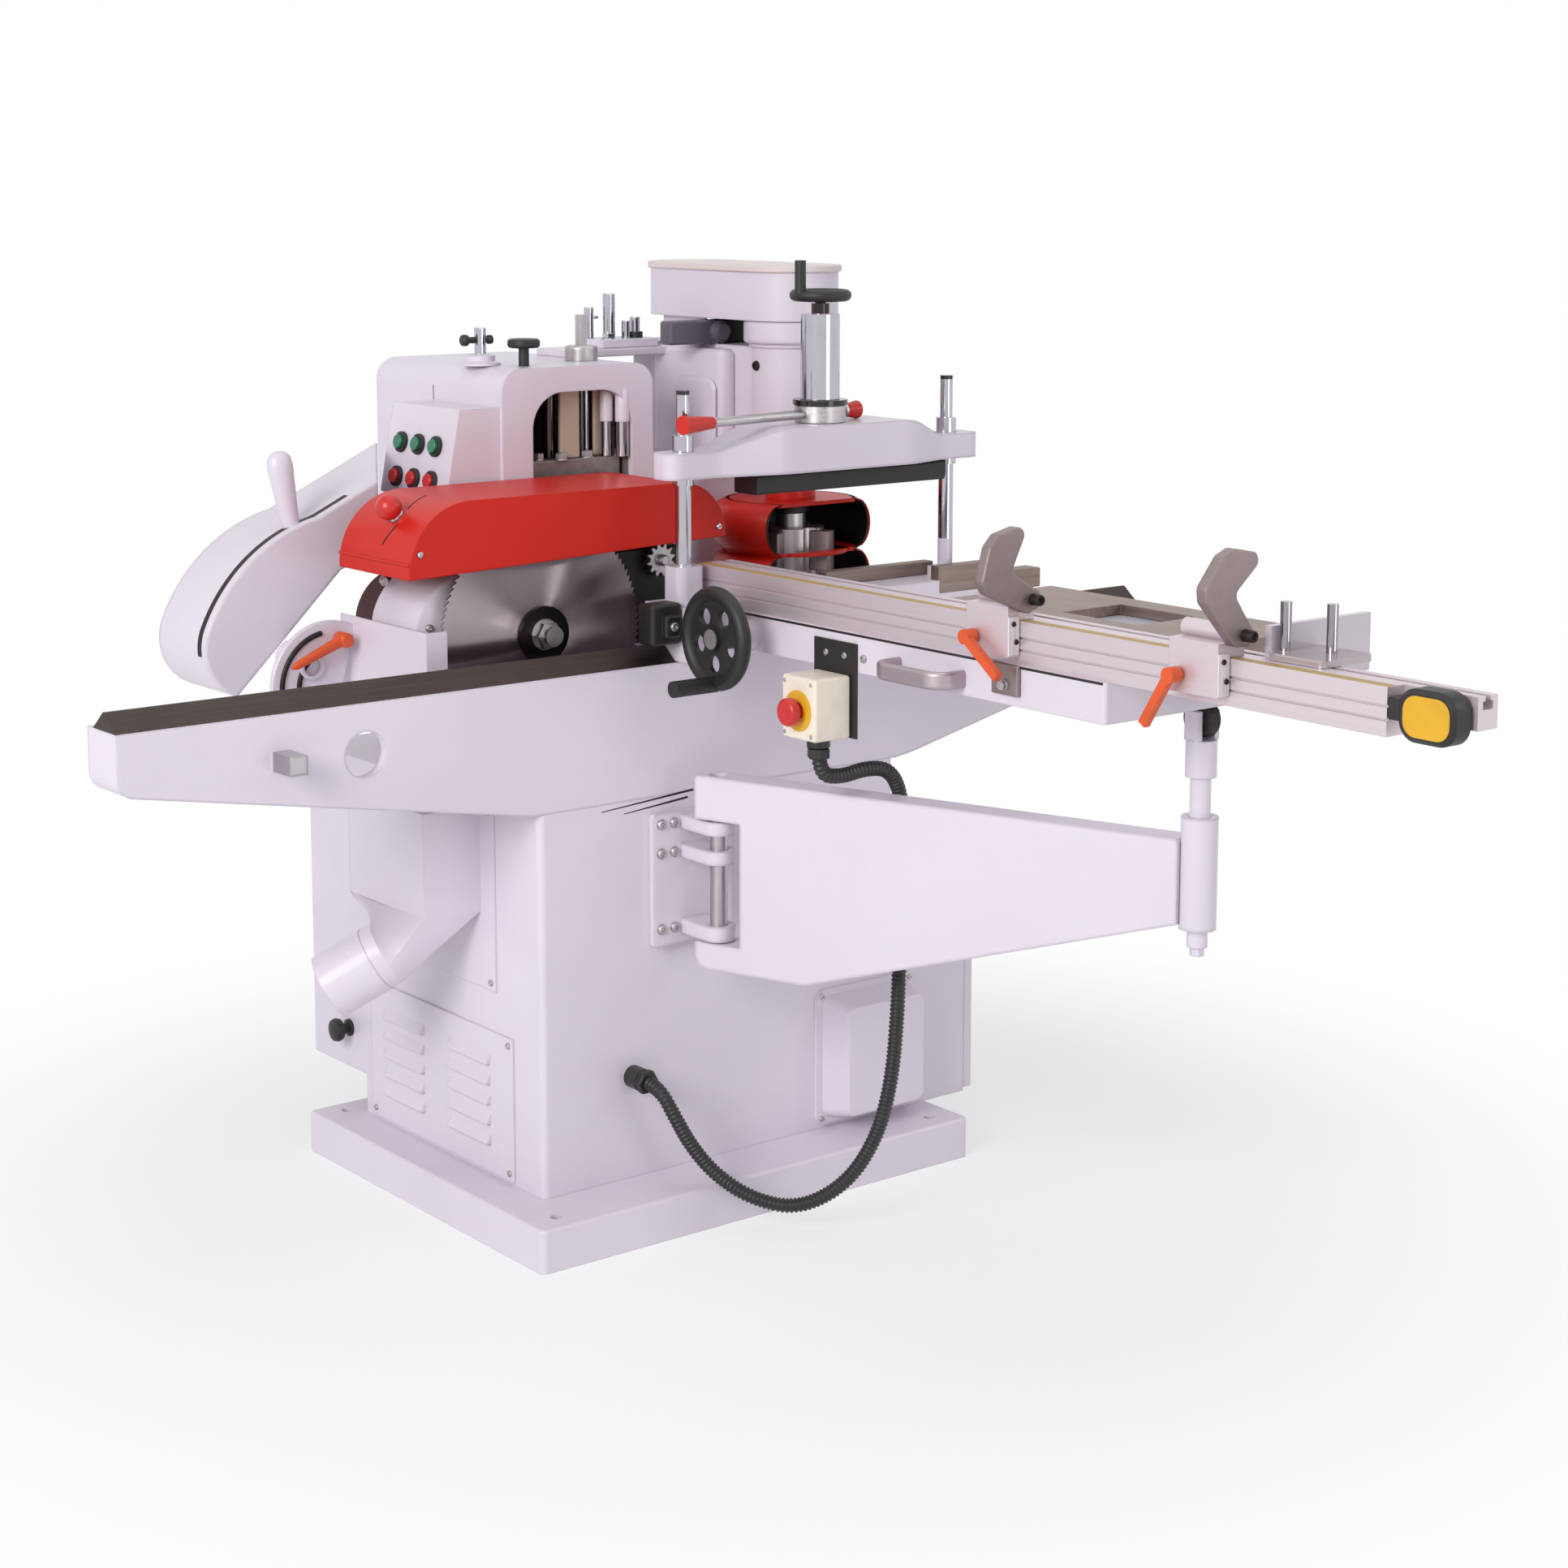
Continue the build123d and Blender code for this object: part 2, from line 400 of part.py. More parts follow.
# Swing arm hinge: a screwed plate with three lugs round one long pin
with BuildPart() as arm_hinge:
    hinge_y = (CAB_Y[0] - HINGE_PLATE_T, CAB_Y[0])
    block(HINGE_PLATE_X, hinge_y, HINGE_PLATE_Z)
    fillet(arm_hinge.edges().filter_by(Axis.Y), PLINTH_EDGE)
    for lug in LUGS:
        block((PIN_X - LUG_R, PIN_X + LUG_R), (PIN_Y, hinge_y[0]), lug)
        rod_z(PIN_X, PIN_Y, lug, LUG_R)
    rod_z(PIN_X, PIN_Y, PIN_Z, PIN_R + RUN, Mode.SUBTRACT)
save(arm_hinge, "arm_hinge")

with BuildPart() as hinge_pin:
    rod_z(PIN_X, PIN_Y, PIN_Z, PIN_R)
    chamfer(hinge_pin.edges().group_by(Axis.Z)[0] + hinge_pin.edges().group_by(Axis.Z)[-1], EDGE_BREAK)
save(hinge_pin, "hinge_pin")

# Swing arm: a deep hollow beam, open below, forked round the hinge lugs
arm_turn = radians(ARM_ANGLE)
arm_out = (sin(arm_turn), -cos(arm_turn), 0)
arm_plane = Plane((PIN_X, PIN_Y, 0), x_dir=arm_out, z_dir=(-cos(arm_turn), -sin(arm_turn), 0))
tip_x = PIN_X + ARM_LONG * arm_out[0]
tip_y = PIN_Y + ARM_LONG * arm_out[1]
with BuildPart() as swing_arm:
    with BuildSketch(arm_plane.offset(-ARM_T / 2)):
        with BuildLine():
            Polyline(
                (ARM_ROOT, ARM_TOP), (ARM_END, ARM_TOP), (ARM_END, ARM_END_LOW),
                (ARM_KNEE, ARM_LOW), (ARM_ROOT, ARM_LOW), close=True,
            )
        make_face()
        fillet(vertices().group_by(Axis.Y)[0], 4 * PLINTH_EDGE)
    extrude(amount=ARM_T)
    fillet(swing_arm.faces().sort_by(Axis.Z)[-1].edges(), PLINTH_EDGE)
    with BuildSketch(arm_plane.offset(ARM_SKIN - ARM_T / 2)):
        with BuildLine():
            Polyline(
                (JAW_NOTCH + 2 * ARM_SKIN, ARM_TOP - ARM_SKIN), (ARM_LONG - TIP_R, ARM_TOP - ARM_SKIN),
                (ARM_LONG - TIP_R, ARM_LOW), (ARM_KNEE, ARM_LOW - LUG_R),
                (JAW_NOTCH + 2 * ARM_SKIN, ARM_LOW - LUG_R), close=True,
            )
        make_face()
    extrude(amount=ARM_T - 2 * ARM_SKIN, mode=Mode.SUBTRACT)
    with BuildSketch(arm_plane.offset(-ARM_T)):
        with BuildLine():
            Polyline(
                (2 * ARM_ROOT, JAW_Z[0]), (JAW_NOTCH, JAW_Z[0]), (JAW_NOTCH, JAW_Z[1]),
                (2 * ARM_ROOT, JAW_Z[1]), close=True,
            )
        make_face()
    extrude(amount=2 * ARM_T, mode=Mode.SUBTRACT)
    rod_z(PIN_X, PIN_Y, (ARM_LOW - 1, ARM_TOP + 1), PIN_R + RUN, Mode.SUBTRACT)
    rod_z(tip_x, tip_y, TIP_Z, TIP_R)
    rod_z(tip_x, tip_y, TIP_Z, POST_R + RUN, Mode.SUBTRACT)
save(swing_arm, "swing_arm")

# Height-adjusting post with its fork, and the roller that carries the table beam
roller_z = BEAM_Z[0] - TRACK_GAP - ROLLER_R
with BuildPart() as arm_post:
    with BuildSketch(Plane.XY.offset(SCREW_Z[0])):
        with Locations((tip_x, tip_y)):
            RegularPolygon(SCREW_HEX_R, 6)
    extrude(amount=SCREW_Z[1] - SCREW_Z[0])
    rod_z(tip_x, tip_y, POST_Z, POST_R)
    rod_z(tip_x, tip_y, SLEEVE_Z, SLEEVE_R)
    for side_x in (-1, 1):
        inner = tip_x + side_x * FORK_GAP / 2
        outer = inner + side_x * FORK_T
        block(sorted((inner, outer)), (tip_y - ROLLER_R / 2, tip_y + ROLLER_R / 2), (SLEEVE_Z[1], FORK_TOP))
    rod_x(tip_y, roller_z, (tip_x - FORK_GAP / 2, tip_x + FORK_GAP / 2), AXLE_R)
save(arm_post, "arm_post")

with BuildPart() as arm_roller:
    rod_x(tip_y, roller_z, (tip_x - ROLLER_W / 2, tip_x + ROLLER_W / 2), ROLLER_R)
    chamfer(arm_roller.edges(), EDGE_BREAK)
    rod_x(tip_y, roller_z, (tip_x - ROLLER_W, tip_x + ROLLER_W), AXLE_R + RUN, Mode.SUBTRACT)
save(arm_roller, "arm_roller")

# Carriage saddle: rides the guide rail on a vee groove
groove_lift = GAP * hypot(RAIL_APEX_Z - BED_TOP, RAIL_APEX_Y - RAIL_Y[0]) / (RAIL_APEX_Y - RAIL_Y[0])
with BuildPart() as carriage_saddle:
    block(SADDLE_X, SADDLE_Y, SADDLE_Z)
    fillet(carriage_saddle.edges().filter_by(Axis.Z), PLINTH_EDGE)
    with BuildSketch(Plane.YZ.offset(SADDLE_X[0])):
        with BuildLine():
            Polyline(
                (RAIL_Y[0], BED_TOP + groove_lift), (RAIL_APEX_Y - RAIL_FLAT / 2, RAIL_APEX_Z + groove_lift),
                (RAIL_APEX_Y + RAIL_FLAT / 2, RAIL_APEX_Z + groove_lift), (RAIL_Y[1], BED_TOP + groove_lift),
                close=True,
            )
        make_face()
    extrude(amount=SADDLE_X[1] - SADDLE_X[0], mode=Mode.SUBTRACT)
save(carriage_saddle, "carriage_saddle")

# Carriage beam: a box beam that reaches out over the swing arm's roller
with BuildPart() as carriage_beam:
    block(BEAM_X, BEAM_Y, BEAM_Z)
    fillet(carriage_beam.edges().filter_by(Axis.Z).group_by(Axis.Y)[0], PLINTH_EDGE)
    hollow_x = (BEAM_X[0] + BEAM_WALL, BEAM_X[1] - BEAM_WALL)
    hollow_z = (BEAM_Z[0] + BEAM_WALL, BEAM_Z[1] - BEAM_WALL)
    block(hollow_x, (BEAM_Y[0] + BEAM_WALL, BEAM_Y[1]), hollow_z, Mode.SUBTRACT)
    boss_x = (BEAM_X[0] - WHEEL_BOSS_OUT, BEAM_X[0] + BEAM_WALL)
    rod_x(WHEEL_Y, WHEEL_Z, boss_x, WHEEL_BOSS_R)
    rod_x(WHEEL_Y, WHEEL_Z, boss_x, WHEEL_SHAFT_R + RUN, Mode.SUBTRACT)
save(carriage_beam, "carriage_beam")

# Table profile: an aluminium extrusion with a tee slot on top and grooves in its side
with BuildPart() as table_profile:
    block(PROFILE_X, PROFILE_Y, PROFILE_Z)
    block(NOSE_X, NOSE_Y, NOSE_Z)
    whole_y = (NOSE_Y[0], PROFILE_Y[1])
    neck = (SLOT_X - SLOT_NECK / 2, SLOT_X + SLOT_NECK / 2)
    head = (SLOT_X - SLOT_HEAD / 2, SLOT_X + SLOT_HEAD / 2)
    block(neck, whole_y, (PROFILE_Z[1] - SLOT_LIP, PROFILE_Z[1]), Mode.SUBTRACT)
    block(head, whole_y, (PROFILE_Z[1] - SLOT_DEEP, PROFILE_Z[1] - SLOT_LIP), Mode.SUBTRACT)
    for groove_z in GROOVES_Z:
        cut_z = (groove_z, groove_z + GROOVE_W)
        block((PROFILE_X[0], PROFILE_X[0] + GROOVE_DEEP), PROFILE_Y, cut_z, Mode.SUBTRACT)
save(table_profile, "table_profile")

# Table plate: a ribbed casting with a window, open below
with BuildPart() as table_plate:
    block(TABLE_X, TABLE_Y, TABLE_Z)
    under_x = (TABLE_X[0] + TABLE_SKIN, TABLE_X[1] - TABLE_SKIN)
    under_y = (TABLE_Y[0] + TABLE_SKIN, TABLE_Y[1] - TABLE_SKIN)
    block(under_x, under_y, (TABLE_Z[0], TABLE_Z[1] - TABLE_SKIN), Mode.SUBTRACT)
    block(WINDOW_X, WINDOW_Y, (TABLE_Z[1] - TABLE_SKIN, TABLE_Z[1]), Mode.SUBTRACT)
save(table_plate, "table_plate")

# Bow handle on the side of the beam
with BuildLine() as bow_line:
    FilletPolyline(
        (BEAM_X[0], BOW_Y[1], BOW_Z), (BEAM_X[0] - BOW_OUT, BOW_Y[1], BOW_Z),
        (BEAM_X[0] - BOW_OUT, BOW_Y[0], BOW_Z), (BEAM_X[0], BOW_Y[0], BOW_Z), radius=BOW_BEND,
    )
with BuildPart() as pull_handle:
    with BuildSketch(Plane((BEAM_X[0], BOW_Y[1], BOW_Z), x_dir=(0, 1, 0), z_dir=(-1, 0, 0))):
        RectangleRounded(BOW_T, BOW_TALL, BOW_EDGE)
    sweep(path=bow_line.wire())
save(pull_handle, "pull_handle")

# Clamp posts: two chromed pillars on the saddle, with nuts under and over the bridge
with BuildPart() as clamp_posts:
    for post_x, base_top in zip(POSTS_X, POST_BASE_TOP):
        half_base = POST_BASE / 2
        base_x = (post_x - half_base, post_x + half_base)
        block(base_x, (POSTS_Y - half_base, POSTS_Y + half_base), (SADDLE_Z[1], base_top))
        fillet(clamp_posts.edges(Select.LAST).filter_by(Axis.Z), POST_BASE_R)
        rod_z(post_x, POSTS_Y, (base_top, FERRULE_Z[1]), CLAMP_POST_R)
        rod_z(post_x, POSTS_Y, (BRIDGE_Z[0] - CLAMP_TIP_R, BRIDGE_Z[0]), FERRULE_R)
        rod_z(post_x, POSTS_Y, FERRULE_Z, FERRULE_R)
        rod_z(post_x, POSTS_Y, CLAMP_TIP_Z, CLAMP_TIP_R)
save(clamp_posts, "clamp_posts")

# Clamp bridge: a cast beam that is deeper and wider over the cylinder
with BuildPart() as clamp_bridge:
    with BuildSketch(Plane.XZ.offset(-POSTS_Y - BRIDGE_MID_W / 2)):
        with BuildLine():
            Polyline(
                (BRIDGE_X[0], BRIDGE_Z[0]), (BRIDGE_X[1], BRIDGE_Z[0]), (BRIDGE_X[1], BRIDGE_Z[1]),
                (BRIDGE_FALL[1], BRIDGE_Z[1]), (BRIDGE_FALL[0], BRIDGE_MID), (BRIDGE_RISE[1], BRIDGE_MID),
                (BRIDGE_RISE[0], BRIDGE_Z[1]), (BRIDGE_X[0], BRIDGE_Z[1]), close=True,
            )
        make_face()
        fillet(vertices().filter_by_position(Axis.X, BRIDGE_RISE[0], BRIDGE_FALL[1]), BRIDGE_BEND_R)
    extrude(amount=BRIDGE_MID_W)
    with BuildSketch(Plane.XY.offset(BRIDGE_Z[0])):
        end_half, mid_half = BRIDGE_END_W / 2, BRIDGE_MID_W / 2
        with BuildLine():
            Polyline(
                (BRIDGE_X[0], POSTS_Y - end_half), (BRIDGE_RISE[0], POSTS_Y - end_half),
                (BRIDGE_RISE[1], POSTS_Y - mid_half), (BRIDGE_FALL[0], POSTS_Y - mid_half),
                (BRIDGE_FALL[1], POSTS_Y - end_half), (BRIDGE_X[1], POSTS_Y - end_half),
                (BRIDGE_X[1], POSTS_Y + end_half), (BRIDGE_FALL[1], POSTS_Y + end_half),
                (BRIDGE_FALL[0], POSTS_Y + mid_half), (BRIDGE_RISE[1], POSTS_Y + mid_half),
                (BRIDGE_RISE[0], POSTS_Y + end_half), (BRIDGE_X[0], POSTS_Y + end_half), close=True,
            )
        make_face()
        fillet(vertices().filter_by_position(Axis.X, BRIDGE_RISE[0], BRIDGE_FALL[1]), BRIDGE_BEND_R)
    extrude(amount=BRIDGE_MID - BRIDGE_Z[0], mode=Mode.INTERSECT)
    upright = clamp_bridge.edges().filter_by(Axis.Z).group_by(Axis.X)
    fillet(upright[0] + upright[-1], BRIDGE_END_R)
    for post_x in POSTS_X:
        rod_z(post_x, POSTS_Y, BRIDGE_Z, CLAMP_POST_R + RUN, Mode.SUBTRACT)
    rod_z(CYL_X, POSTS_Y, (BRIDGE_Z[0], BRIDGE_MID), RAM_R + RUN, Mode.SUBTRACT)
save(clamp_bridge, "clamp_bridge")

# Clamp cylinder with its collar and neck, bored for the ram and the wheel's stem
with BuildPart() as clamp_cylinder:
    rod_z(CYL_X, POSTS_Y, CYL_Z, CYL_R)
    rod_z(CYL_X, POSTS_Y, RING_Z, RING_R)
    rod_z(CYL_X, POSTS_Y, CYL_STEM_Z, CYL_STEM_R)
    rod_z(CYL_X, POSTS_Y, (CYL_Z[0], RAM_TOP + 2), RAM_R + RUN, Mode.SUBTRACT)
    rod_z(CYL_X, POSTS_Y, (TOP_STEM_LOW - 1, CYL_STEM_Z[1]), TOP_STEM_R + RUN, Mode.SUBTRACT)
save(clamp_cylinder, "clamp_cylinder")

# Clamp bar under the bridge, on the ram
with BuildPart() as clamp_bar:
    block(BAR_X, (POSTS_Y - BAR_W / 2, POSTS_Y + BAR_W / 2), BAR_Z)
    chamfer(clamp_bar.edges().filter_by(Axis.X), EDGE_BREAK)
    rod_z(CYL_X, POSTS_Y, (BAR_Z[1], RAM_TOP), RAM_R)
save(clamp_bar, "clamp_bar")

# Clamp lever: a ring on the foot of the cylinder with a long and a short arm
lever_turn = radians(LEVER_TURN)
lever_out = (-cos(lever_turn), -sin(lever_turn), 0)
with BuildPart() as clamp_lever:
    rod_z(CYL_X, POSTS_Y, LEVER_HUB_Z, LEVER_HUB_R)
    for reach, way in ((LEVER_LONG, 1), (LEVER_SHORT, -1)):
        outward = tuple(way * part for part in lever_out)
        with BuildSketch(Plane((CYL_X, POSTS_Y, LEVER_Z), z_dir=outward)):
            Circle(LEVER_ROD_R)
        extrude(amount=reach - LEVER_GRIP_R)
        grip = LEVER_GRIP if way > 0 else LEVER_GRIP / 2
        root = reach - grip
        grip_at = (CYL_X + root * outward[0], POSTS_Y + root * outward[1], LEVER_Z)
        with BuildSketch(Plane(grip_at, z_dir=outward)):
            Circle(LEVER_ROD_R + EDGE_BREAK)
        with BuildSketch(Plane(grip_at, z_dir=outward).offset(grip)):
            Circle(LEVER_GRIP_R)
        loft()
    rod_z(CYL_X, POSTS_Y, LEVER_HUB_Z, CYL_R + RUN, Mode.SUBTRACT)
save(clamp_lever, "clamp_lever")

# Top wheel that drives the ram, with its crank grip
with BuildPart() as clamp_wheel:
    with Locations((CYL_X, POSTS_Y, TOP_WHEEL_Z)):
        Cylinder(TOP_WHEEL_R - TOP_WHEEL_RIM, TOP_WHEEL_RIM)
        Torus(TOP_WHEEL_R - TOP_WHEEL_RIM, TOP_WHEEL_RIM)
    rod_z(CYL_X, POSTS_Y, (TOP_STEM_LOW, TOP_WHEEL_Z), TOP_STEM_R)
    rod_z(CYL_X - TOP_GRIP_AT, POSTS_Y, (TOP_WHEEL_Z, TOP_GRIP_TOP), TOP_GRIP_R)
save(clamp_wheel, "clamp_wheel")

# Side handwheel on the beam, with its crank grip
with BuildPart() as handwheel:
    with Locations(Location((WHEEL_X, WHEEL_Y, WHEEL_Z), (0, 90, 0))):
        Torus(WHEEL_R - WHEEL_RIM_R, WHEEL_RIM_R)
        Cylinder(WHEEL_R - WHEEL_RIM_R, WHEEL_WEB)
        with PolarLocations(WHEEL_WINDOW_AT, WHEEL_WINDOWS):
            Cylinder(WHEEL_WINDOW_R, 2 * WHEEL_WEB, mode=Mode.SUBTRACT)
    rod_x(WHEEL_Y, WHEEL_Z, (WHEEL_X - WHEEL_RIM_R, BEAM_X[0] - WHEEL_BOSS_OUT - 1), WHEEL_HUB_R)
    rod_x(WHEEL_Y, WHEEL_Z, (WHEEL_X, BEAM_X[0] + BEAM_WALL), WHEEL_SHAFT_R)
    rod_x(WHEEL_Y, WHEEL_Z - CRANK_AT, (WHEEL_X - CRANK_LONG, WHEEL_X), CRANK_R)
save(handwheel, "handwheel")

# Emergency stop: a bracket plate, a box with a gland below it, and its mushroom button
with BuildPart() as estop_box:
    block(STOP_BOX_X, STOP_BOX_Y, STOP_BOX_Z)
    fillet(estop_box.edges(), STOP_BOX_R)
    block((STOP_BOX_X[1], STOP_BOX_X[1] + STOP_PLATE_T), STOP_PLATE_Y, STOP_PLATE_Z)
    rod_z(STOP_GLAND_X, STOP_GLAND_Y, (STOP_GLAND_LOW, STOP_BOX_Z[0] + STOP_BOX_R), STOP_GLAND_R)
    stem_x = (STOP_BOX_X[0], STOP_BOX_X[0] + 2 * MUSHROOM_IN)
    rod_x(MUSHROOM_Y, MUSHROOM_Z, stem_x, MUSHROOM_STEM_R + RUN, Mode.SUBTRACT)
save(estop_box, "estop_box")

with BuildPart() as estop_button:
    cap_x = STOP_BOX_X[0] - MUSHROOM_OUT
    rod_x(MUSHROOM_Y, MUSHROOM_Z, (cap_x - MUSHROOM_T, cap_x), MUSHROOM_R)
    fillet(estop_button.edges().group_by(Axis.X)[0], MUSHROOM_T / 2)
    rod_x(MUSHROOM_Y, MUSHROOM_Z, (cap_x, STOP_BOX_X[0] + MUSHROOM_IN), MUSHROOM_STEM_R)
save(estop_button, "estop_button")

# Flip stops: each has a block that slides on the profile, a swinging wing and a locking lever
for number, stop_y, wing_turn, lock_way in zip((1, 2), STOP_AT, WING_TURN, LOCK_TURN):
    stop_front = stop_y - STOP_LONG / 2
    stop_side = (STOP_FACE_X, PROFILE_X[0] - GAP)
    stop_span = (stop_front, stop_front + STOP_LONG)
    lock_y = stop_y + LOCK_LEAD
    wing_y = stop_front - GAP
    with BuildPart() as stop_block:
        block(stop_side, stop_span, STOP_Z)
        block((STOP_FACE_X, STOP_TOP_X), stop_span, (STOP_TOP_LOW, STOP_Z[1]))
        rod_y(PIVOT_X, PIVOT_Z, stop_span, PIVOT_BOSS_R)
        rod_y(PIVOT_X, PIVOT_Z, (wing_y - WING_T - PIVOT_OUT, stop_front), PIVOT_R)
        rod_x(lock_y, LOCK_Z, stop_side, LOCK_STUD_R + RUN, Mode.SUBTRACT)
    save(stop_block, f"stop_block_{number}")

    lean = radians(wing_turn)
    wing_plane = Plane((PIVOT_X, wing_y, PIVOT_Z), x_dir=(cos(lean), 0, sin(lean)), z_dir=(0, -1, 0))
    with BuildPart() as stop_wing:
        with BuildSketch(wing_plane):
            with BuildLine():
                Polyline(*WING_SHAPE, close=True)
            make_face()
            fillet(vertices(), WING_ROUND)
            Circle(WING_HUB_R)
            Circle(PIVOT_R + RUN, mode=Mode.SUBTRACT)
        extrude(amount=WING_T)
    save(stop_wing, f"stop_wing_{number}")

    aim = radians(lock_way)
    lock_plane = Plane((LOCK_X[0], lock_y, LOCK_Z), x_dir=(0, cos(aim), sin(aim)), z_dir=(1, 0, 0))
    with BuildPart() as stop_lever:
        with BuildSketch(lock_plane):
            with Locations((LOCK_LONG / 2, 0)):
                Rectangle(LOCK_LONG, 2 * LOCK_TIP_R)
        extrude(amount=LOCK_HUB_R)
        rod_x(lock_y, LOCK_Z, LOCK_X, LOCK_HUB_R)
        rod_x(lock_y, LOCK_Z, (LOCK_X[1], stop_side[1] - GAP), LOCK_STUD_R)
    save(stop_lever, f"stop_lever_{number}")

# Mitre stop: a plate with two pins and an upright fence that partly hangs beside the profile
with BuildPart() as mitre_fence:
    block(MITRE_X, MITRE_Y, MITRE_Z)
    fillet(mitre_fence.edges().filter_by(Axis.Z), 2 * PLINTH_EDGE)
    for pin_x, pin_y in MITRE_PINS:
        rod_z(pin_x, pin_y, (MITRE_Z[1], MITRE_PIN_TOP), MITRE_PIN_R)
    block(FENCE_X, FENCE_Y, (MITRE_Z[0], FENCE_TOP))
    block((FENCE_DROP_X, FENCE_X[1]), FENCE_Y, (FENCE_LOW, MITRE_Z[0]))
    rod_z(*MITRE_PIVOT, (MITRE_BOLT_LOW, MITRE_Z[0]), MITRE_BOLT_R)
save(mitre_fence, "mitre_fence")

# Cut-off saw: toothed blade, arbor with flanges and nut, bearing housing and side guard
with BuildPart() as saw_blade:
    with BuildSketch(Plane.XZ.offset(-SAW_Y - SAW_T / 2)):
        with Locations((SAW_X, SAW_Z)):
            Circle(SAW_R - TOOTH_DEEP)
            with PolarLocations(SAW_R - TOOTH_DEEP, SAW_TEETH):
                tooth = ((-TOOTH_BACK, -TOOTH_DEEP), (TOOTH_DEEP, TOOTH_DEEP), (-TOOTH_BACK, TOOTH_DEEP))
                Polygon(*tooth, align=None)
            Circle(ARBOR_R + RUN, mode=Mode.SUBTRACT)
    extrude(amount=SAW_T)
save(saw_blade, "saw_blade")

with BuildPart() as saw_arbor:
    rod_y(SAW_X, SAW_Z, ARBOR_Y, ARBOR_R)
    blade_faces = (SAW_Y - SAW_T / 2, SAW_Y + SAW_T / 2)
    rod_y(SAW_X, SAW_Z, (blade_faces[0] - FLANGE_T, blade_faces[0]), FLANGE_R)
    rod_y(SAW_X, SAW_Z, (blade_faces[1], blade_faces[1] + FLANGE_T), FLANGE_R)
    with BuildSketch(Plane.XZ.offset(FLANGE_T - blade_faces[0])):
        with Locations((SAW_X, SAW_Z)):
            RegularPolygon(NUT_R, 6)
    extrude(amount=FLANGE_T + FLANGE_T / 2)
save(saw_arbor, "saw_arbor")

with BuildPart() as saw_housing:
    rod_y(SAW_X, SAW_Z, HOUSING_Y, HOUSING_R)
    fillet(saw_housing.edges().group_by(Axis.Y)[0], 2 * PLINTH_EDGE)
    block(PEDESTAL_X, PEDESTAL_Y, (CAB_TOP, SAW_Z))
    rod_y(SAW_X, SAW_Z, HOUSING_Y, ARBOR_R + RUN, Mode.SUBTRACT)
save(saw_housing, "saw_housing")

with BuildPart() as saw_side_guard:
    block((SIDE_X - SIDE_T, SIDE_X), SIDE_Y, SIDE_Z)
    block((SIDE_X, SIDE_X + SIDE_FLANGE), (SIDE_Y[0], SIDE_Y[0] + SIDE_T), SIDE_Z)
    block((SIDE_X, PEDESTAL_X[0]), PEDESTAL_Y, (SIDE_Z[0], SIDE_Z[0] + 2 * SIDE_T))
save(saw_side_guard, "saw_side_guard")

# Saw hood: a bent sheet, open below, with rounded ends and a window for the tenoning head
with BuildPart() as saw_hood:
    for inset, kind in ((0, Mode.ADD), (HOOD_T, Mode.SUBTRACT)):
        with BuildSketch(Plane.XZ.offset(-HOOD_Y[0] - inset)):
            with BuildLine():
                Polyline(
                    (HOOD_X[0] + inset, HOOD_FLAP_LOW - inset), (HOOD_X[0] + inset, HOOD_TOP - inset),
                    (HOOD_X[1] - inset, HOOD_TOP - inset), (HOOD_X[1] - inset, HOOD_LOW - inset), close=True,
                )
            make_face()
            fillet(vertices().sort_by(Axis.X)[:2].sort_by(Axis.Y)[-1], HOOD_LEFT_R - inset)
            fillet(vertices().sort_by(Axis.X)[-2:].sort_by(Axis.Y)[-1], HOOD_RIGHT_R - inset)
        extrude(amount=HOOD_Y[0] - HOOD_Y[1] + 2 * inset, mode=kind)
    block(HOOD_BACK_WINDOW_X, (HOOD_Y[1] - 2 * HOOD_T, HOOD_Y[1]), HOOD_BACK_WINDOW_Z, Mode.SUBTRACT)
    block(HOOD_PAD_X, (HOOD_Y[1], COL_Y[0]), HOOD_PAD_Z)
    knob_way = (cos(radians(KNOB_ANGLE)), 0, sin(radians(KNOB_ANGLE)))
    arc_centre = Vector(HOOD_X[0] + HOOD_LEFT_R, KNOB_Y, HOOD_TOP - HOOD_LEFT_R)
    with BuildSketch(Plane(arc_centre, z_dir=knob_way).offset(HOOD_LEFT_R - 2 * HOOD_T)):
        Circle(KNOB_STEM_R + RUN)
    extrude(amount=3 * HOOD_T, mode=Mode.SUBTRACT)
save(saw_hood, "saw_hood")

with BuildPart() as hood_knob:
    with BuildSketch(Plane(arc_centre, z_dir=knob_way).offset(HOOD_LEFT_R - 3 * HOOD_T)):
        Circle(KNOB_STEM_R)
    extrude(amount=KNOB_OUT)
    with Locations(arc_centre + Vector(*knob_way) * (HOOD_LEFT_R + KNOB_OUT / 2 + HOOD_T)):
        Sphere(KNOB_R)
save(hood_knob, "hood_knob")

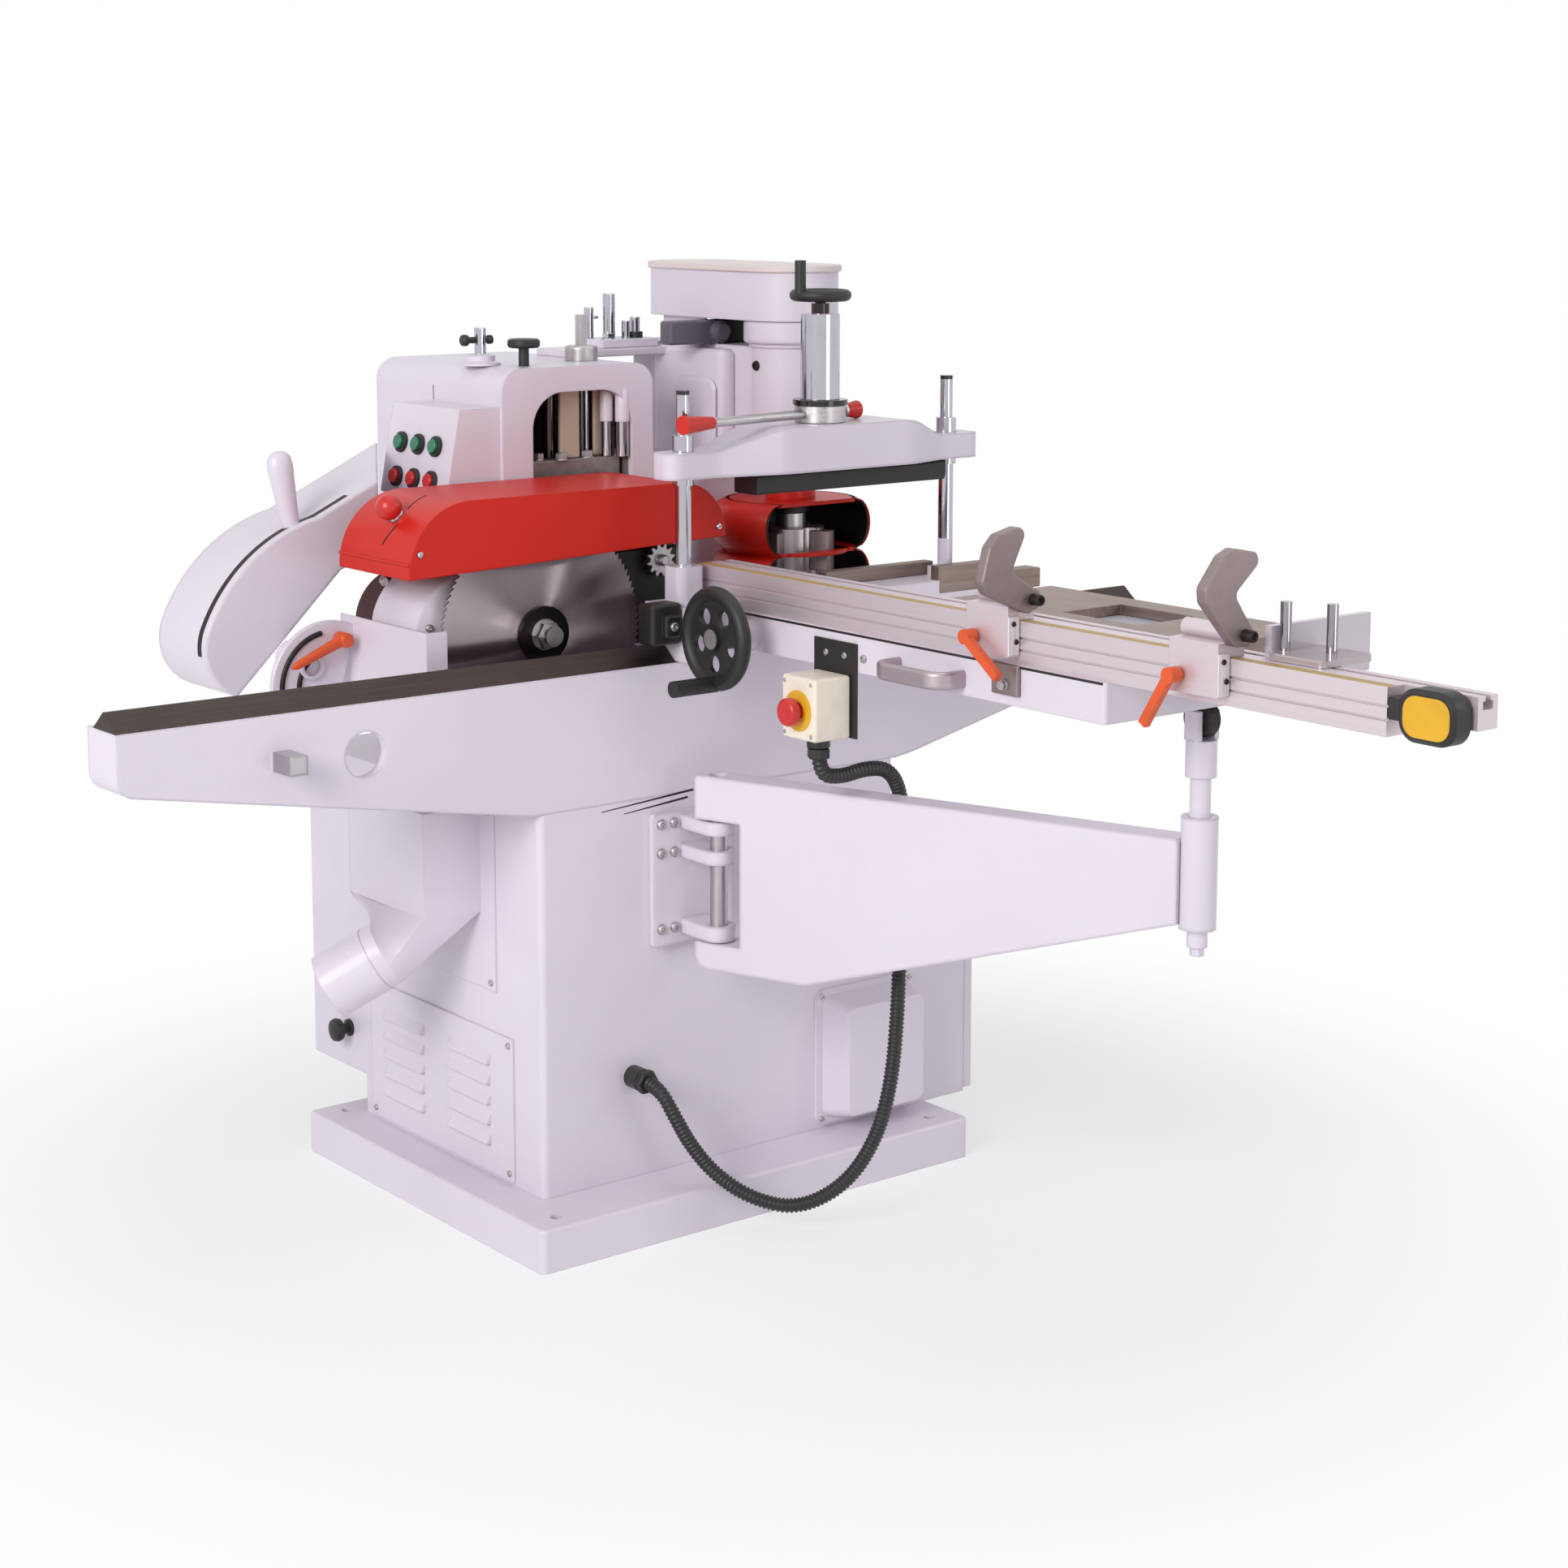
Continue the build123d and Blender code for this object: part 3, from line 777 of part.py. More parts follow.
# Head column: an arch-fronted casting with two guide rods in its window
with BuildPart() as head_column:
    block(COL_X, COL_Y, (CAB_TOP, COL_TOP))
    fillet(head_column.edges().filter_by(Axis.Y).group_by(Axis.Z)[-1], COL_ROUND)
    fillet(head_column.edges().filter_by(Axis.Z).group_by(Axis.Y)[-1], COL_ROUND)
    with BuildSketch(Plane.XZ.offset(-COL_Y[0])):
        with BuildLine():
            Polyline(
                (ARCH_X[0], ARCH_Z[0]), (ARCH_X[1], ARCH_Z[0]), (ARCH_X[1], ARCH_Z[1]),
                (ARCH_X[0], ARCH_Z[1]), close=True,
            )
        make_face()
        fillet(vertices().group_by(Axis.Y)[-1], ARCH_R)
    extrude(amount=-ARCH_DEEP, mode=Mode.SUBTRACT)
    core_y = (COL_Y[0] + ARCH_DEEP + COL_WALL, COL_Y[1] - COL_WALL)
    block((COL_X[0] + COL_WALL, COL_X[1] - COL_WALL), core_y, (CAB_TOP, COL_TOP - COL_WALL), Mode.SUBTRACT)
    rod_z(CRANK_X, CRANK_Y, (ARCH_Z[1] - ARCH_R, COL_TOP), CRANK_SCREW_R + RUN, Mode.SUBTRACT)
    rod_z(LOCK_KNOB_X, LOCK_KNOB_Y, (LOCK_STEM_LOW, COL_TOP), LOCK_STEM_R + RUN, Mode.SUBTRACT)
save(head_column, "head_column")

with BuildPart() as column_rods:
    for rod_at_x, rod_at_y in RODS:
        rod_z(rod_at_x, rod_at_y, ARCH_Z, ROD_R)
save(column_rods, "column_rods")

# Tenoning head: a block on the rods with a nose that carries the cutter
with BuildPart() as tenon_head:
    block(HEAD_X, HEAD_Y, HEAD_Z)
    chamfer(tenon_head.edges().filter_by(Axis.Z), PLINTH_EDGE)
    rod_y(CUT_X, CUT_Z, (NOSE_LOW_Y, HEAD_Y[0]), NOSE_R)
    for rod_at_x, rod_at_y in RODS:
        rod_z(rod_at_x, rod_at_y, HEAD_Z, ROD_R + RUN, Mode.SUBTRACT)
    rod_z(CRANK_X, CRANK_Y, HEAD_Z, CRANK_SCREW_R + RUN, Mode.SUBTRACT)
    rod_y(CUT_X, CUT_Z, (NOSE_LOW_Y, CUT_SHAFT_END + 1), CUT_SHAFT_R + RUN, Mode.SUBTRACT)
save(tenon_head, "tenon_head")

with BuildPart() as tenon_cutter:
    rod_y(CUT_X, CUT_Z, CUT_Y, CUT_R)
    with Locations(Location((CUT_X, sum(CUT_Y) / 2, CUT_Z), (90, 0, 0))):
        with PolarLocations(CUT_R, GULLETS):
            Cylinder(CUT_SHAFT_R, CUT_Y[1] - CUT_Y[0], mode=Mode.SUBTRACT)
    rod_y(CUT_X, CUT_Z, (CUT_Y[1], CUT_SHAFT_END), CUT_SHAFT_R)
save(tenon_cutter, "tenon_cutter")

with BuildPart() as head_crank:
    rod_z(CRANK_X, CRANK_Y, (CRANK_LOW, CRANK_COLLAR_Z[0]), CRANK_SCREW_R)
    rod_z(CRANK_X, CRANK_Y, CRANK_COLLAR_Z, CRANK_COLLAR_R)
    fillet(head_crank.edges().group_by(Axis.Z)[-1], PLINTH_EDGE)
    half_square = CRANK_SQUARE / 2
    square_x = (CRANK_X - half_square, CRANK_X + half_square)
    block(square_x, (CRANK_Y - half_square, CRANK_Y + half_square), (CRANK_COLLAR_Z[1], CRANK_TOP))
save(head_crank, "head_crank")

with BuildPart() as column_lock_knob:
    rod_z(LOCK_KNOB_X, LOCK_KNOB_Y, LOCK_KNOB_Z, LOCK_KNOB_R)
    fillet(column_lock_knob.edges(), PLINTH_EDGE)
    rod_z(LOCK_KNOB_X, LOCK_KNOB_Y, (LOCK_STEM_LOW, LOCK_KNOB_Z[0]), LOCK_STEM_R)
save(column_lock_knob, "column_lock_knob")

# Belt guard: a hollow teardrop casing with a paddle handle and a bracket to the column
with BuildPart() as belt_guard:
    for inset, kind in ((0, Mode.ADD), (GUARD_SKIN, Mode.SUBTRACT)):
        with BuildSketch(Plane.XZ.offset(-GUARD_Y[0] - inset)):
            with BuildLine():
                Line(GUARD_TIP, GUARD_SHOULDER)
                ThreePointArc(GUARD_SHOULDER, GUARD_CROWN, GUARD_LEFT)
                ThreePointArc(GUARD_LEFT, GUARD_HEEL, GUARD_TOE)
                Polyline(GUARD_TOE, GUARD_KNEE, GUARD_UNDER, GUARD_TIP)
            make_face()
            if inset:
                offset(amount=-inset, mode=Mode.REPLACE)
                with Locations((sum(GUARD_HOLLOW_X) / 2, GUARD_SHOULDER[1])):
                    hollow_tall = 2 * (GUARD_SHOULDER[1] - GUARD_TOE[1])
                    Rectangle(GUARD_HOLLOW_X[1] - GUARD_HOLLOW_X[0], hollow_tall, mode=Mode.INTERSECT)
        extrude(amount=GUARD_Y[0] - GUARD_Y[1] + 2 * inset, mode=kind)
        if not inset:
            fillet(belt_guard.faces().sort_by(Axis.Y)[0].edges(), GUARD_SKIN)
            end_plane = Plane((*GUARD_END_AT, GUARD_UNDER[1]), z_dir=(*GUARD_END_FACES, 0))
            split(bisect_by=end_plane, keep=Keep.BOTTOM)
    block((GUARD_BRACKET_X, COL_X[0]), GUARD_BRACKET_Y, GUARD_BRACKET_Z)
    with BuildSketch(Plane(PADDLE_AT, z_dir=PADDLE_LEAN)):
        Circle(PADDLE_NECK_R)
    with BuildSketch(Plane(PADDLE_AT, z_dir=PADDLE_LEAN).offset(PADDLE_LONG)):
        Circle(PADDLE_R)
    loft()
    fillet(belt_guard.edges().sort_by(Axis.Z)[-1], PADDLE_R / 2)
save(belt_guard, "belt_guard")

# Control panel: a hollow wedge with six push buttons on its slanted face
panel_rise = PANEL_Z[1] - PANEL_Z[0]
panel_slant = hypot(PANEL_HIGH_X - PANEL_LOW_X, panel_rise)
panel_out = (-panel_rise / panel_slant, 0, (PANEL_HIGH_X - PANEL_LOW_X) / panel_slant)


def button_plane(row_z, column_y):
    """The plane of a button on the panel's slanted face, facing outwards."""
    share = (row_z - PANEL_Z[0]) / panel_rise
    return Plane((PANEL_LOW_X + share * (PANEL_HIGH_X - PANEL_LOW_X), column_y, row_z), z_dir=panel_out)


with BuildPart() as control_panel:
    with BuildSketch(Plane.XZ.offset(-PANEL_Y[0])):
        with BuildLine():
            Polyline(
                (COL_X[0], PANEL_Z[0]), (PANEL_LOW_X, PANEL_Z[0]), (PANEL_HIGH_X, PANEL_Z[1]),
                (COL_X[0], PANEL_Z[1]), close=True,
            )
        make_face()
    extrude(amount=PANEL_Y[0] - PANEL_Y[1])
    fillet(control_panel.edges().filter_by(Axis.Y), GUARD_SKIN)
    with BuildSketch(Plane.XZ.offset(-PANEL_Y[0] - PANEL_SKIN)):
        with BuildLine():
            Polyline(
                (COL_X[0], PANEL_Z[0] + PANEL_SKIN), (PANEL_LOW_X + 2 * PANEL_SKIN, PANEL_Z[0] + PANEL_SKIN),
                (PANEL_HIGH_X + PANEL_SKIN, PANEL_Z[1] - PANEL_SKIN), (COL_X[0], PANEL_Z[1] - PANEL_SKIN),
                close=True,
            )
        make_face()
    extrude(amount=PANEL_Y[0] - PANEL_Y[1] + 2 * PANEL_SKIN, mode=Mode.SUBTRACT)
    for row_z in BUTTON_ROWS:
        for column_y in BUTTONS_Y:
            with BuildSketch(button_plane(row_z, column_y)):
                Circle(BUTTON_R + RUN)
            extrude(amount=-2 * BUTTON_IN, mode=Mode.SUBTRACT)
save(control_panel, "control_panel")

for colour, row_z in zip(BUTTON_COLOURS, BUTTON_ROWS):
    for number, column_y in enumerate(BUTTONS_Y, 1):
        with BuildPart() as button:
            with BuildSketch(button_plane(row_z, column_y).offset(-BUTTON_IN)):
                Circle(BUTTON_R)
            extrude(amount=BUTTON_IN + BUTTON_OUT)
            chamfer(button.edges().sort_by(Axis.X)[0], EDGE_BREAK / 2)
        save(button, f"{colour}_button_{number}")

# Coping column: a foot on the cabinet, a body and a neck that carries the upright spindle
with BuildPart() as coping_column:
    block(COPE_FOOT_X, COPE_Y, (CAB_TOP, COPE_FOOT_TOP))
    block(COPE_X, COPE_Y, (COPE_FOOT_TOP, COPE_TOP))
    fillet(coping_column.edges().filter_by(Axis.Z), 2 * PLINTH_EDGE)
    core_x = (COPE_FOOT_X[0] + COL_WALL, COPE_FOOT_X[1] - COL_WALL)
    block(core_x, (COPE_Y[0] + COL_WALL, COPE_Y[1] - COL_WALL), (CAB_TOP, COPE_TOP - COL_WALL), Mode.SUBTRACT)
    block(NECK_X, (SPIN_Y, COPE_Y[0]), NECK_Z)
    rod_z(SPIN_X, SPIN_Y, NECK_Z, QUILL_R)
    rod_z(SPIN_X, SPIN_Y, (NECK_Z[0], SPIN_Z[1] + 1), SPIN_R + RUN, Mode.SUBTRACT)
save(coping_column, "coping_column")

with BuildPart() as coping_belt_cover:
    with BuildSketch(Plane.XY.offset(BELT_Z[0])):
        with Locations((SPIN_X, (SPIN_Y + BELT_END_Y) / 2)):
            SlotCenterToCenter(BELT_END_Y - SPIN_Y, 2 * BELT_R, rotation=90)
    extrude(amount=BELT_Z[1] - BELT_Z[0])
    fillet(coping_belt_cover.faces().sort_by(Axis.Z)[-1].edges(), PLINTH_EDGE)
    rod_z(SPIN_X, SPIN_Y, (COPE_TOP, BELT_Z[0]), BELT_RING_R)
    block(NECK_X, (COPE_Y[0], BELT_END_Y + BELT_LID), (COPE_TOP, BELT_Z[0]))
    with BuildSketch(Plane.XY.offset(COPE_TOP)):
        with Locations((SPIN_X, (SPIN_Y + BELT_END_Y) / 2)):
            SlotCenterToCenter(BELT_END_Y - SPIN_Y, 2 * (BELT_RING_R - BELT_LID), rotation=90)
    extrude(amount=BELT_Z[1] - BELT_LID - COPE_TOP, mode=Mode.SUBTRACT)
save(coping_belt_cover, "coping_belt_cover")


# Coping guard: a two-lobed shell round the cutter, open in front, hung from the neck
def lobes(inset):
    """Radius and height of the guard's wall from its low rim to its high rim, a given depth inside."""
    low, middle, high = COPE_GUARD_Z[0] + inset, COPE_GUARD_Z[1], COPE_GUARD_Z[2] - inset
    rim, waist, belly = COPE_RIM_R - inset, COPE_WAIST_R - inset, COPE_GUARD_R - inset
    return [
        (rim, low), (belly, low + COPE_BEVEL), (belly, middle - COPE_BEVEL), (waist, middle),
        (belly, middle + COPE_BEVEL), (belly, high - COPE_BEVEL), (rim, high),
    ]


guard_top, guard_low = COPE_GUARD_Z[2], COPE_GUARD_Z[0]
guard_wall = lobes(0) + [
    (COPE_COLLAR_R, guard_top), (COPE_COLLAR_R, NECK_Z[0]), (COPE_BORE_R, NECK_Z[0]),
    (COPE_BORE_R, guard_top - COPE_GUARD_SKIN), *reversed(lobes(COPE_GUARD_SKIN)),
    (COPE_MOUTH_R, guard_low + COPE_GUARD_SKIN), (COPE_MOUTH_R, guard_low),
]
with BuildPart() as coping_guard:
    with BuildSketch(Plane.XZ.offset(-SPIN_Y)):
        with BuildLine():
            Polyline(*((SPIN_X + radius, height) for radius, height in guard_wall), close=True)
        make_face()
    revolve(axis=Axis((SPIN_X, SPIN_Y, 0), (0, 0, 1)))
    front = (SPIN_Y - 2 * COPE_GUARD_R, COPE_OPEN_Y)
    wide = (SPIN_X - 2 * COPE_GUARD_R, SPIN_X + 2 * COPE_GUARD_R)
    block(wide, front, (COPE_GUARD_Z[0], NECK_Z[0]), Mode.SUBTRACT)
save(coping_guard, "coping_guard")

with BuildPart() as coping_spindle:
    rod_z(SPIN_X, SPIN_Y, BLOCK_Z, BLOCK_R)
    with Locations((SPIN_X, SPIN_Y, sum(BLOCK_Z) / 2)):
        with PolarLocations(BLOCK_R, GULLETS):
            Cylinder(GULLET_R, BLOCK_Z[1] - BLOCK_Z[0], mode=Mode.SUBTRACT)
    rod_z(SPIN_X, SPIN_Y, SPIN_Z, SPIN_R)
    rod_z(SPIN_X, SPIN_Y, SPIN_NUT_Z, SPIN_NUT_R)
save(coping_spindle, "coping_spindle")

# Saw motor on its foot inside the cabinet
with BuildPart() as saw_motor:
    rod_y(MOTOR_X, MOTOR_Z, MOTOR_Y, MOTOR_R)
    fillet(saw_motor.edges(), PLINTH_EDGE)
    block(MOTOR_BASE_X, MOTOR_BASE_Y, (PLINTH_FLOOR, MOTOR_Z))
    tunnel_x = (MOTOR_BASE_X[0] + WALL, MOTOR_BASE_X[1] - WALL)
    tunnel_z = (PLINTH_FLOOR + WALL, MOTOR_Z - MOTOR_R - WALL)
    block(tunnel_x, MOTOR_BASE_Y, tunnel_z, Mode.SUBTRACT)
    rod_y(MOTOR_X, MOTOR_Z, (MOTOR_Y[0] - MOTOR_SHAFT_OUT, MOTOR_Y[0]), MOTOR_SHAFT_R)
save(saw_motor, "saw_motor")


def corner_radii(points):
    """Arc radius at each inner corner: CORNER_SHARE of the shorter run over the half turn's tangent."""
    radii = []
    for before, corner, after in zip(points, points[1:], points[2:]):
        run_in = Vector(*corner) - Vector(*before)
        run_out = Vector(*after) - Vector(*corner)
        half_turn = radians(run_in.get_angle(run_out)) / 2
        radii.append(CORNER_SHARE * min(run_in.length, run_out.length) / tan(half_turn))
    return radii


# Control hose: a ribbed conduit with its bore, one ridge and one valley for each rib
hose_radii = corner_radii(HOSE_ROUTE)
with BuildLine() as hose_line:
    FilletPolyline(*HOSE_ROUTE, radius=hose_radii)
hose_wire = hose_line.wire()
print("hose radii", [round(radius) for radius in hose_radii], "length", round(hose_wire.length))
ring_axis = Vector(*HOSE_STEADY)
with BuildPart() as control_hose:
    for rib in range(RIBS):
        for share, radius in RIB_SHAPE:
            at = (rib + share) / (RIBS - 1 + RIB_SHAPE[-1][0])
            ring = Plane(hose_wire @ at, x_dir=ring_axis, z_dir=hose_wire % at)
            ring_axis = ring.x_dir
            with BuildSketch(ring):
                Circle(radius)
    loft(ruled=True)
    with BuildSketch(Plane(hose_wire @ 0, x_dir=HOSE_STEADY, z_dir=hose_wire % 0)):
        Circle(HOSE_BORE_R)
    sweep(path=hose_wire, mode=Mode.SUBTRACT)
save(control_hose, "control_hose")
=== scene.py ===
"""Single-end tenoner: finishes, fittings, hose, floor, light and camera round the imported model."""
import math

import bpy
import numpy as np
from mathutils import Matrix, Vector


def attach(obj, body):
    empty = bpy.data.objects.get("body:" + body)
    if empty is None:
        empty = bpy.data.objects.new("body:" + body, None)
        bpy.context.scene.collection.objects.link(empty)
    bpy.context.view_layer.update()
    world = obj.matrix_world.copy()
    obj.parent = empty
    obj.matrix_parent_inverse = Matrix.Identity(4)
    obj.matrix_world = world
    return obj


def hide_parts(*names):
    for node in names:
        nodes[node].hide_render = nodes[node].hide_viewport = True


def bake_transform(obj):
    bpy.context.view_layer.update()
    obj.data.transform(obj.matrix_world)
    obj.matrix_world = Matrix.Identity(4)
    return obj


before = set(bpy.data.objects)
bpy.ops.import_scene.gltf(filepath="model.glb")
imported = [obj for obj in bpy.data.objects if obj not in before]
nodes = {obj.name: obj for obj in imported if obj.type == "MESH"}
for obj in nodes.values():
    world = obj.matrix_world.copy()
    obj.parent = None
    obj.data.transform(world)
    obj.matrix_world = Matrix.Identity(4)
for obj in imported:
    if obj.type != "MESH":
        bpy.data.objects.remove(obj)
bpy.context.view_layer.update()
MM = 0.001


# Shader values and finishes

class Number:
    """A number that varies over a surface; arithmetic on it adds Math nodes to its finish."""

    def __init__(self, finish, socket):
        self.finish = finish
        self.socket = socket

    def math(self, operation, first, second=0.0):
        made = self.finish.node("Math", {"operation": operation}, {0: first, 1: second})
        return Number(self.finish, made.outputs[0])

    def __add__(self, other):
        return self.math("ADD", self, other)

    def __radd__(self, other):
        return self.math("ADD", other, self)

    def __sub__(self, other):
        return self.math("SUBTRACT", self, other)

    def __rsub__(self, other):
        return self.math("SUBTRACT", other, self)

    def __mul__(self, other):
        return self.math("MULTIPLY", self, other)

    def __rmul__(self, other):
        return self.math("MULTIPLY", other, self)

    def __truediv__(self, other):
        return self.math("DIVIDE", self, other)

    def __pow__(self, other):
        return self.math("POWER", self, other)

    def __abs__(self):
        return self.math("ABSOLUTE", self)

    def wave(self, pitch):
        """A sine between 0 and 1 that repeats every pitch."""
        return 0.5 + 0.5 * self.math("SINE", self * (2 * math.pi / pitch))

    def step(self, low, high):
        """A smooth rise from 0 at low to 1 at high."""
        settings = {"interpolation_type": "SMOOTHSTEP"}
        made = self.finish.node("MapRange", settings, {0: self, 1: low, 2: high})
        return Number(self.finish, made.outputs[0])

    def band(self, low, high, soft):
        """1 between low and high, falling to 0 over soft on both sides."""
        return self.step(low - soft, low) * (1 - self.step(high, high + soft))


class Finish:
    """A procedural material: one shader, and the nodes that vary it over a piece."""

    def __init__(self, name, **fixed):
        self.material = bpy.data.materials.new(name)
        self.material.use_nodes = True
        self.tree = self.material.node_tree
        self.shader = self.tree.nodes["Principled BSDF"]
        for socket, value in fixed.items():
            self.shader.inputs[socket.replace("_", " ")].default_value = value
        self.place = self.node("TexCoord").outputs["Object"]

    def feed(self, socket, value):
        """Link a varying value into a socket, or set a plain one on it."""
        value = value.socket if isinstance(value, Number) else value
        if isinstance(value, bpy.types.NodeSocket):
            self.tree.links.new(value, socket)
        else:
            socket.default_value = value

    def node(self, kind, settings=None, inputs=None):
        """Any node by its type, with its settings made first and then its sockets fed."""
        made = self.tree.nodes.new("ShaderNode" + kind)
        for key, value in (settings or {}).items():
            setattr(made, key, value)
        for key, value in (inputs or {}).items():
            self.feed(made.inputs[key], value)
        return made

    def noise(self, scale, detail=2.0, stretch=(1, 1, 1)):
        """Cloudy noise from 0 to 1, scale cells to the metre, squeezed along each axis by stretch."""
        spread = self.node("Mapping", None, {"Vector": self.place, "Scale": stretch})
        settings = {"Vector": spread.outputs[0], "Scale": scale, "Detail": detail}
        return Number(self, self.node("TexNoise", None, settings).outputs[0])

    def axes(self):
        """The three coordinates of a point in metres."""
        split = self.node("SeparateXYZ", None, {0: self.place})
        return [Number(self, socket) for socket in split.outputs]

    def reach(self, centre, along):
        """Distance of a point from the line through centre along one axis, 0 for X, 1 for Y, 2 for Z."""
        apart = [axis - middle for axis, middle in zip(self.axes(), centre)]
        first, second = (apart[axis] for axis in range(3) if axis != along)
        return (first * first + second * second) ** 0.5

    def mix(self, share, first, second):
        """One colour turning into another as share goes from 0 to 1."""
        return self.node("Mix", {"data_type": "RGBA"}, {0: share, 6: first, 7: second}).outputs[2]

    def edges(self, radius):
        """Normals rounded over an edge, and a mask that is 0 on flats and rises to 1 on edges."""
        rounded = self.node("Bevel", {"samples": 4}, {"Radius": radius}).outputs[0]
        flat = self.node("NewGeometry").outputs["Normal"]
        match = self.node("VectorMath", {"operation": "DOT_PRODUCT"}, {0: rounded, 1: flat})
        return rounded, (1 - Number(self, match.outputs["Value"])) * 4

    def relief(self, height, depth, normal=None):
        """Bump of the given depth in metres, over rounded edges where they are given."""
        inputs = {"Height": height, "Distance": depth, "Strength": 1.0}
        if normal is not None:
            inputs["Normal"] = normal
        self.feed(self.shader.inputs["Normal"], self.node("Bump", None, inputs).outputs[0])

    def vary(self, **sockets):
        """Feed the shader's own sockets, named with underscores."""
        for name, value in sockets.items():
            self.feed(self.shader.inputs[name.replace("_", " ")], value)


def tint(red, green, blue):
    """A display colour from 0 to 255 as the linear colour that a shader takes."""
    share = np.array([red, green, blue]) / 255
    linear = np.where(share <= 0.04045, share / 12.92, ((share + 0.055) / 1.055) ** 2.4)
    return (*linear.tolist(), 1.0)


def shade(colour, factor):
    """A colour made lighter or darker by a factor."""
    return (*(min(channel * factor, 1.0) for channel in colour[:3]), 1.0)


def zoned(finish, colour, metal, zones):
    """Lay zones over a finish: each gives where it is from 0 to 1, its colour, and 1 if it is bare metal."""
    for place, zone_colour, zone_metal in zones(finish) if zones else ():
        colour = finish.mix(place, colour, zone_colour)
        metal = metal + place * (zone_metal - metal)
    finish.vary(Base_Color=colour, Metallic=metal)


def enamel(name, colour, gloss=0.36, peel=0.00012, edge=0.003, coat=0.25, shine=0.5, zones=None):
    """Sprayed enamel: cloudy tone, orange peel, and edges where the coat is thin and a little bright."""
    finish = Finish(name, Coat_Weight=coat, Coat_Roughness=0.12, Specular_IOR_Level=shine)
    clouds = finish.noise(2.6, 3.0)
    speckle = finish.noise(160, 2.0)
    rounded_normal, edges = finish.edges(edge)
    base = finish.mix(clouds.step(0.3, 0.75), shade(colour, 0.94), shade(colour, 1.02))
    flecked = finish.mix(speckle.step(0.62, 0.8) * 0.2, base, shade(colour, 0.84))
    worn = finish.mix((edges * speckle).step(0.3, 0.9) * 0.5, flecked, shade(colour, 1.12))
    zoned(finish, worn, 0.0, zones)
    finish.vary(Roughness=gloss + 0.10 * speckle + 0.08 * clouds)
    finish.relief(finish.noise(380, 1.0), peel, rounded_normal)
    return finish


def machined(
    name, colour, rough=0.3, stretch=(4, 260, 260), depth=0.00004, edge=0.0012, metal=1.0, streak=1.0,
    zones=None,
):
    """Cut or drawn metal: tool lines along one axis, smears of tone as strong as streak, bright edges."""
    finish = Finish(name)
    lines = finish.noise(1.0, 2.0, stretch)
    smears = finish.noise(9, 3.0)
    rounded_normal, edges = finish.edges(edge)
    dull, bare = shade(colour, 1 - 0.16 * streak), shade(colour, 1 + 0.06 * streak)
    base = finish.mix(lines.step(0.3, 0.7), dull, bare)
    toned = finish.mix(smears.step(0.45, 0.75) * (0.4 * streak), base, shade(colour, 0.74))
    bright = finish.mix(edges.step(0.2, 0.9) * 0.6, toned, shade(colour, 1.35))
    zoned(finish, bright, metal, zones)
    finish.vary(Roughness=rough + 0.16 * lines + 0.08 * smears)
    finish.relief(lines, depth, rounded_normal)
    return finish


def turned(name, colour, centre, along, rough=0.22, pitch=0.0024, depth=0.00004, zones=None):
    """Lathe-turned or ground metal: fine rings about an axis every pitch, with faint smears."""
    finish = Finish(name)
    rings = finish.reach(centre, along).wave(pitch)
    smears = finish.noise(14, 3.0)
    toned = finish.mix(smears.step(0.4, 0.8) * 0.12, colour, shade(colour, 0.8))
    zoned(finish, toned, 1.0, zones)
    finish.vary(Roughness=rough + 0.06 * smears)
    finish.relief(rings, depth)
    return finish


def chromed(name, colour=tint(186, 184, 192), zones=None):
    """Hard chrome: bright, with a trace of haze and hairline scratches along Z."""
    finish = Finish(name)
    haze = finish.noise(30, 3.0)
    hairs = finish.noise(1.0, 1.0, (900, 900, 14))
    zoned(finish, finish.mix(haze.step(0.4, 0.8) * 0.4, colour, shade(colour, 0.8)), 1.0, zones)
    finish.vary(Roughness=0.05 + 0.08 * haze + 0.04 * hairs)
    finish.relief(hairs, 0.000012)
    return finish


def moulded(name, colour, rough=0.42, grain=900, depth=0.00006, edge=0.0015, zones=None):
    """Moulded plastic: fine grain, slight cloud, edges rubbed a little paler."""
    finish = Finish(name)
    grains = finish.noise(grain, 2.0)
    clouds = finish.noise(22, 2.0)
    rounded_normal, edges = finish.edges(edge)
    base = finish.mix(clouds.step(0.3, 0.8), colour, shade(colour, 0.84))
    rubbed = finish.mix(edges.step(0.3, 1.0) * 0.35, base, shade(colour, 1.6))
    zoned(finish, rubbed, 0.0, zones)
    finish.vary(Roughness=rough + 0.14 * grains)
    finish.relief(grains, depth, rounded_normal)
    return finish


GREY, RED, BLACK = tint(226, 217, 228), tint(206, 30, 12), tint(30, 28, 28)
STEEL, DARK = tint(178, 174, 178), tint(62, 56, 58)
YELLOW, BEIGE, ORANGE = tint(228, 174, 36), tint(242, 232, 214), tint(226, 88, 36)
SOFT = 0.0004


def above(value, limit):
    """1 where a value is above a limit."""
    return value.step(limit - SOFT, limit + SOFT)


def below(value, limit):
    """1 where a value is below a limit."""
    return 1 - above(value, limit)


def cabinet_zones(finish):
    """The black hose gland stands out of the front wall."""
    return [(below(finish.axes()[1], -0.2345), BLACK, 0.0)]


def bed_zones(finish):
    """The square stop on the front is bare steel."""
    return [(below(finish.axes()[1], -0.2345), STEEL, 1.0)]


def column_window_shade_zones(finish):
    """The window's walls are bare casting, darkened further with painted shade for the recess."""
    x, y, z = finish.axes()
    inside = x.band(-0.1506, 0.0346, SOFT) * y.band(0.062, 0.268, 0.004) * z.band(0.7, 1.2196, SOFT)
    # painted shade: the walls inside the window recess are darkened
    return [(inside, tint(118, 108, 106), 0.0)]


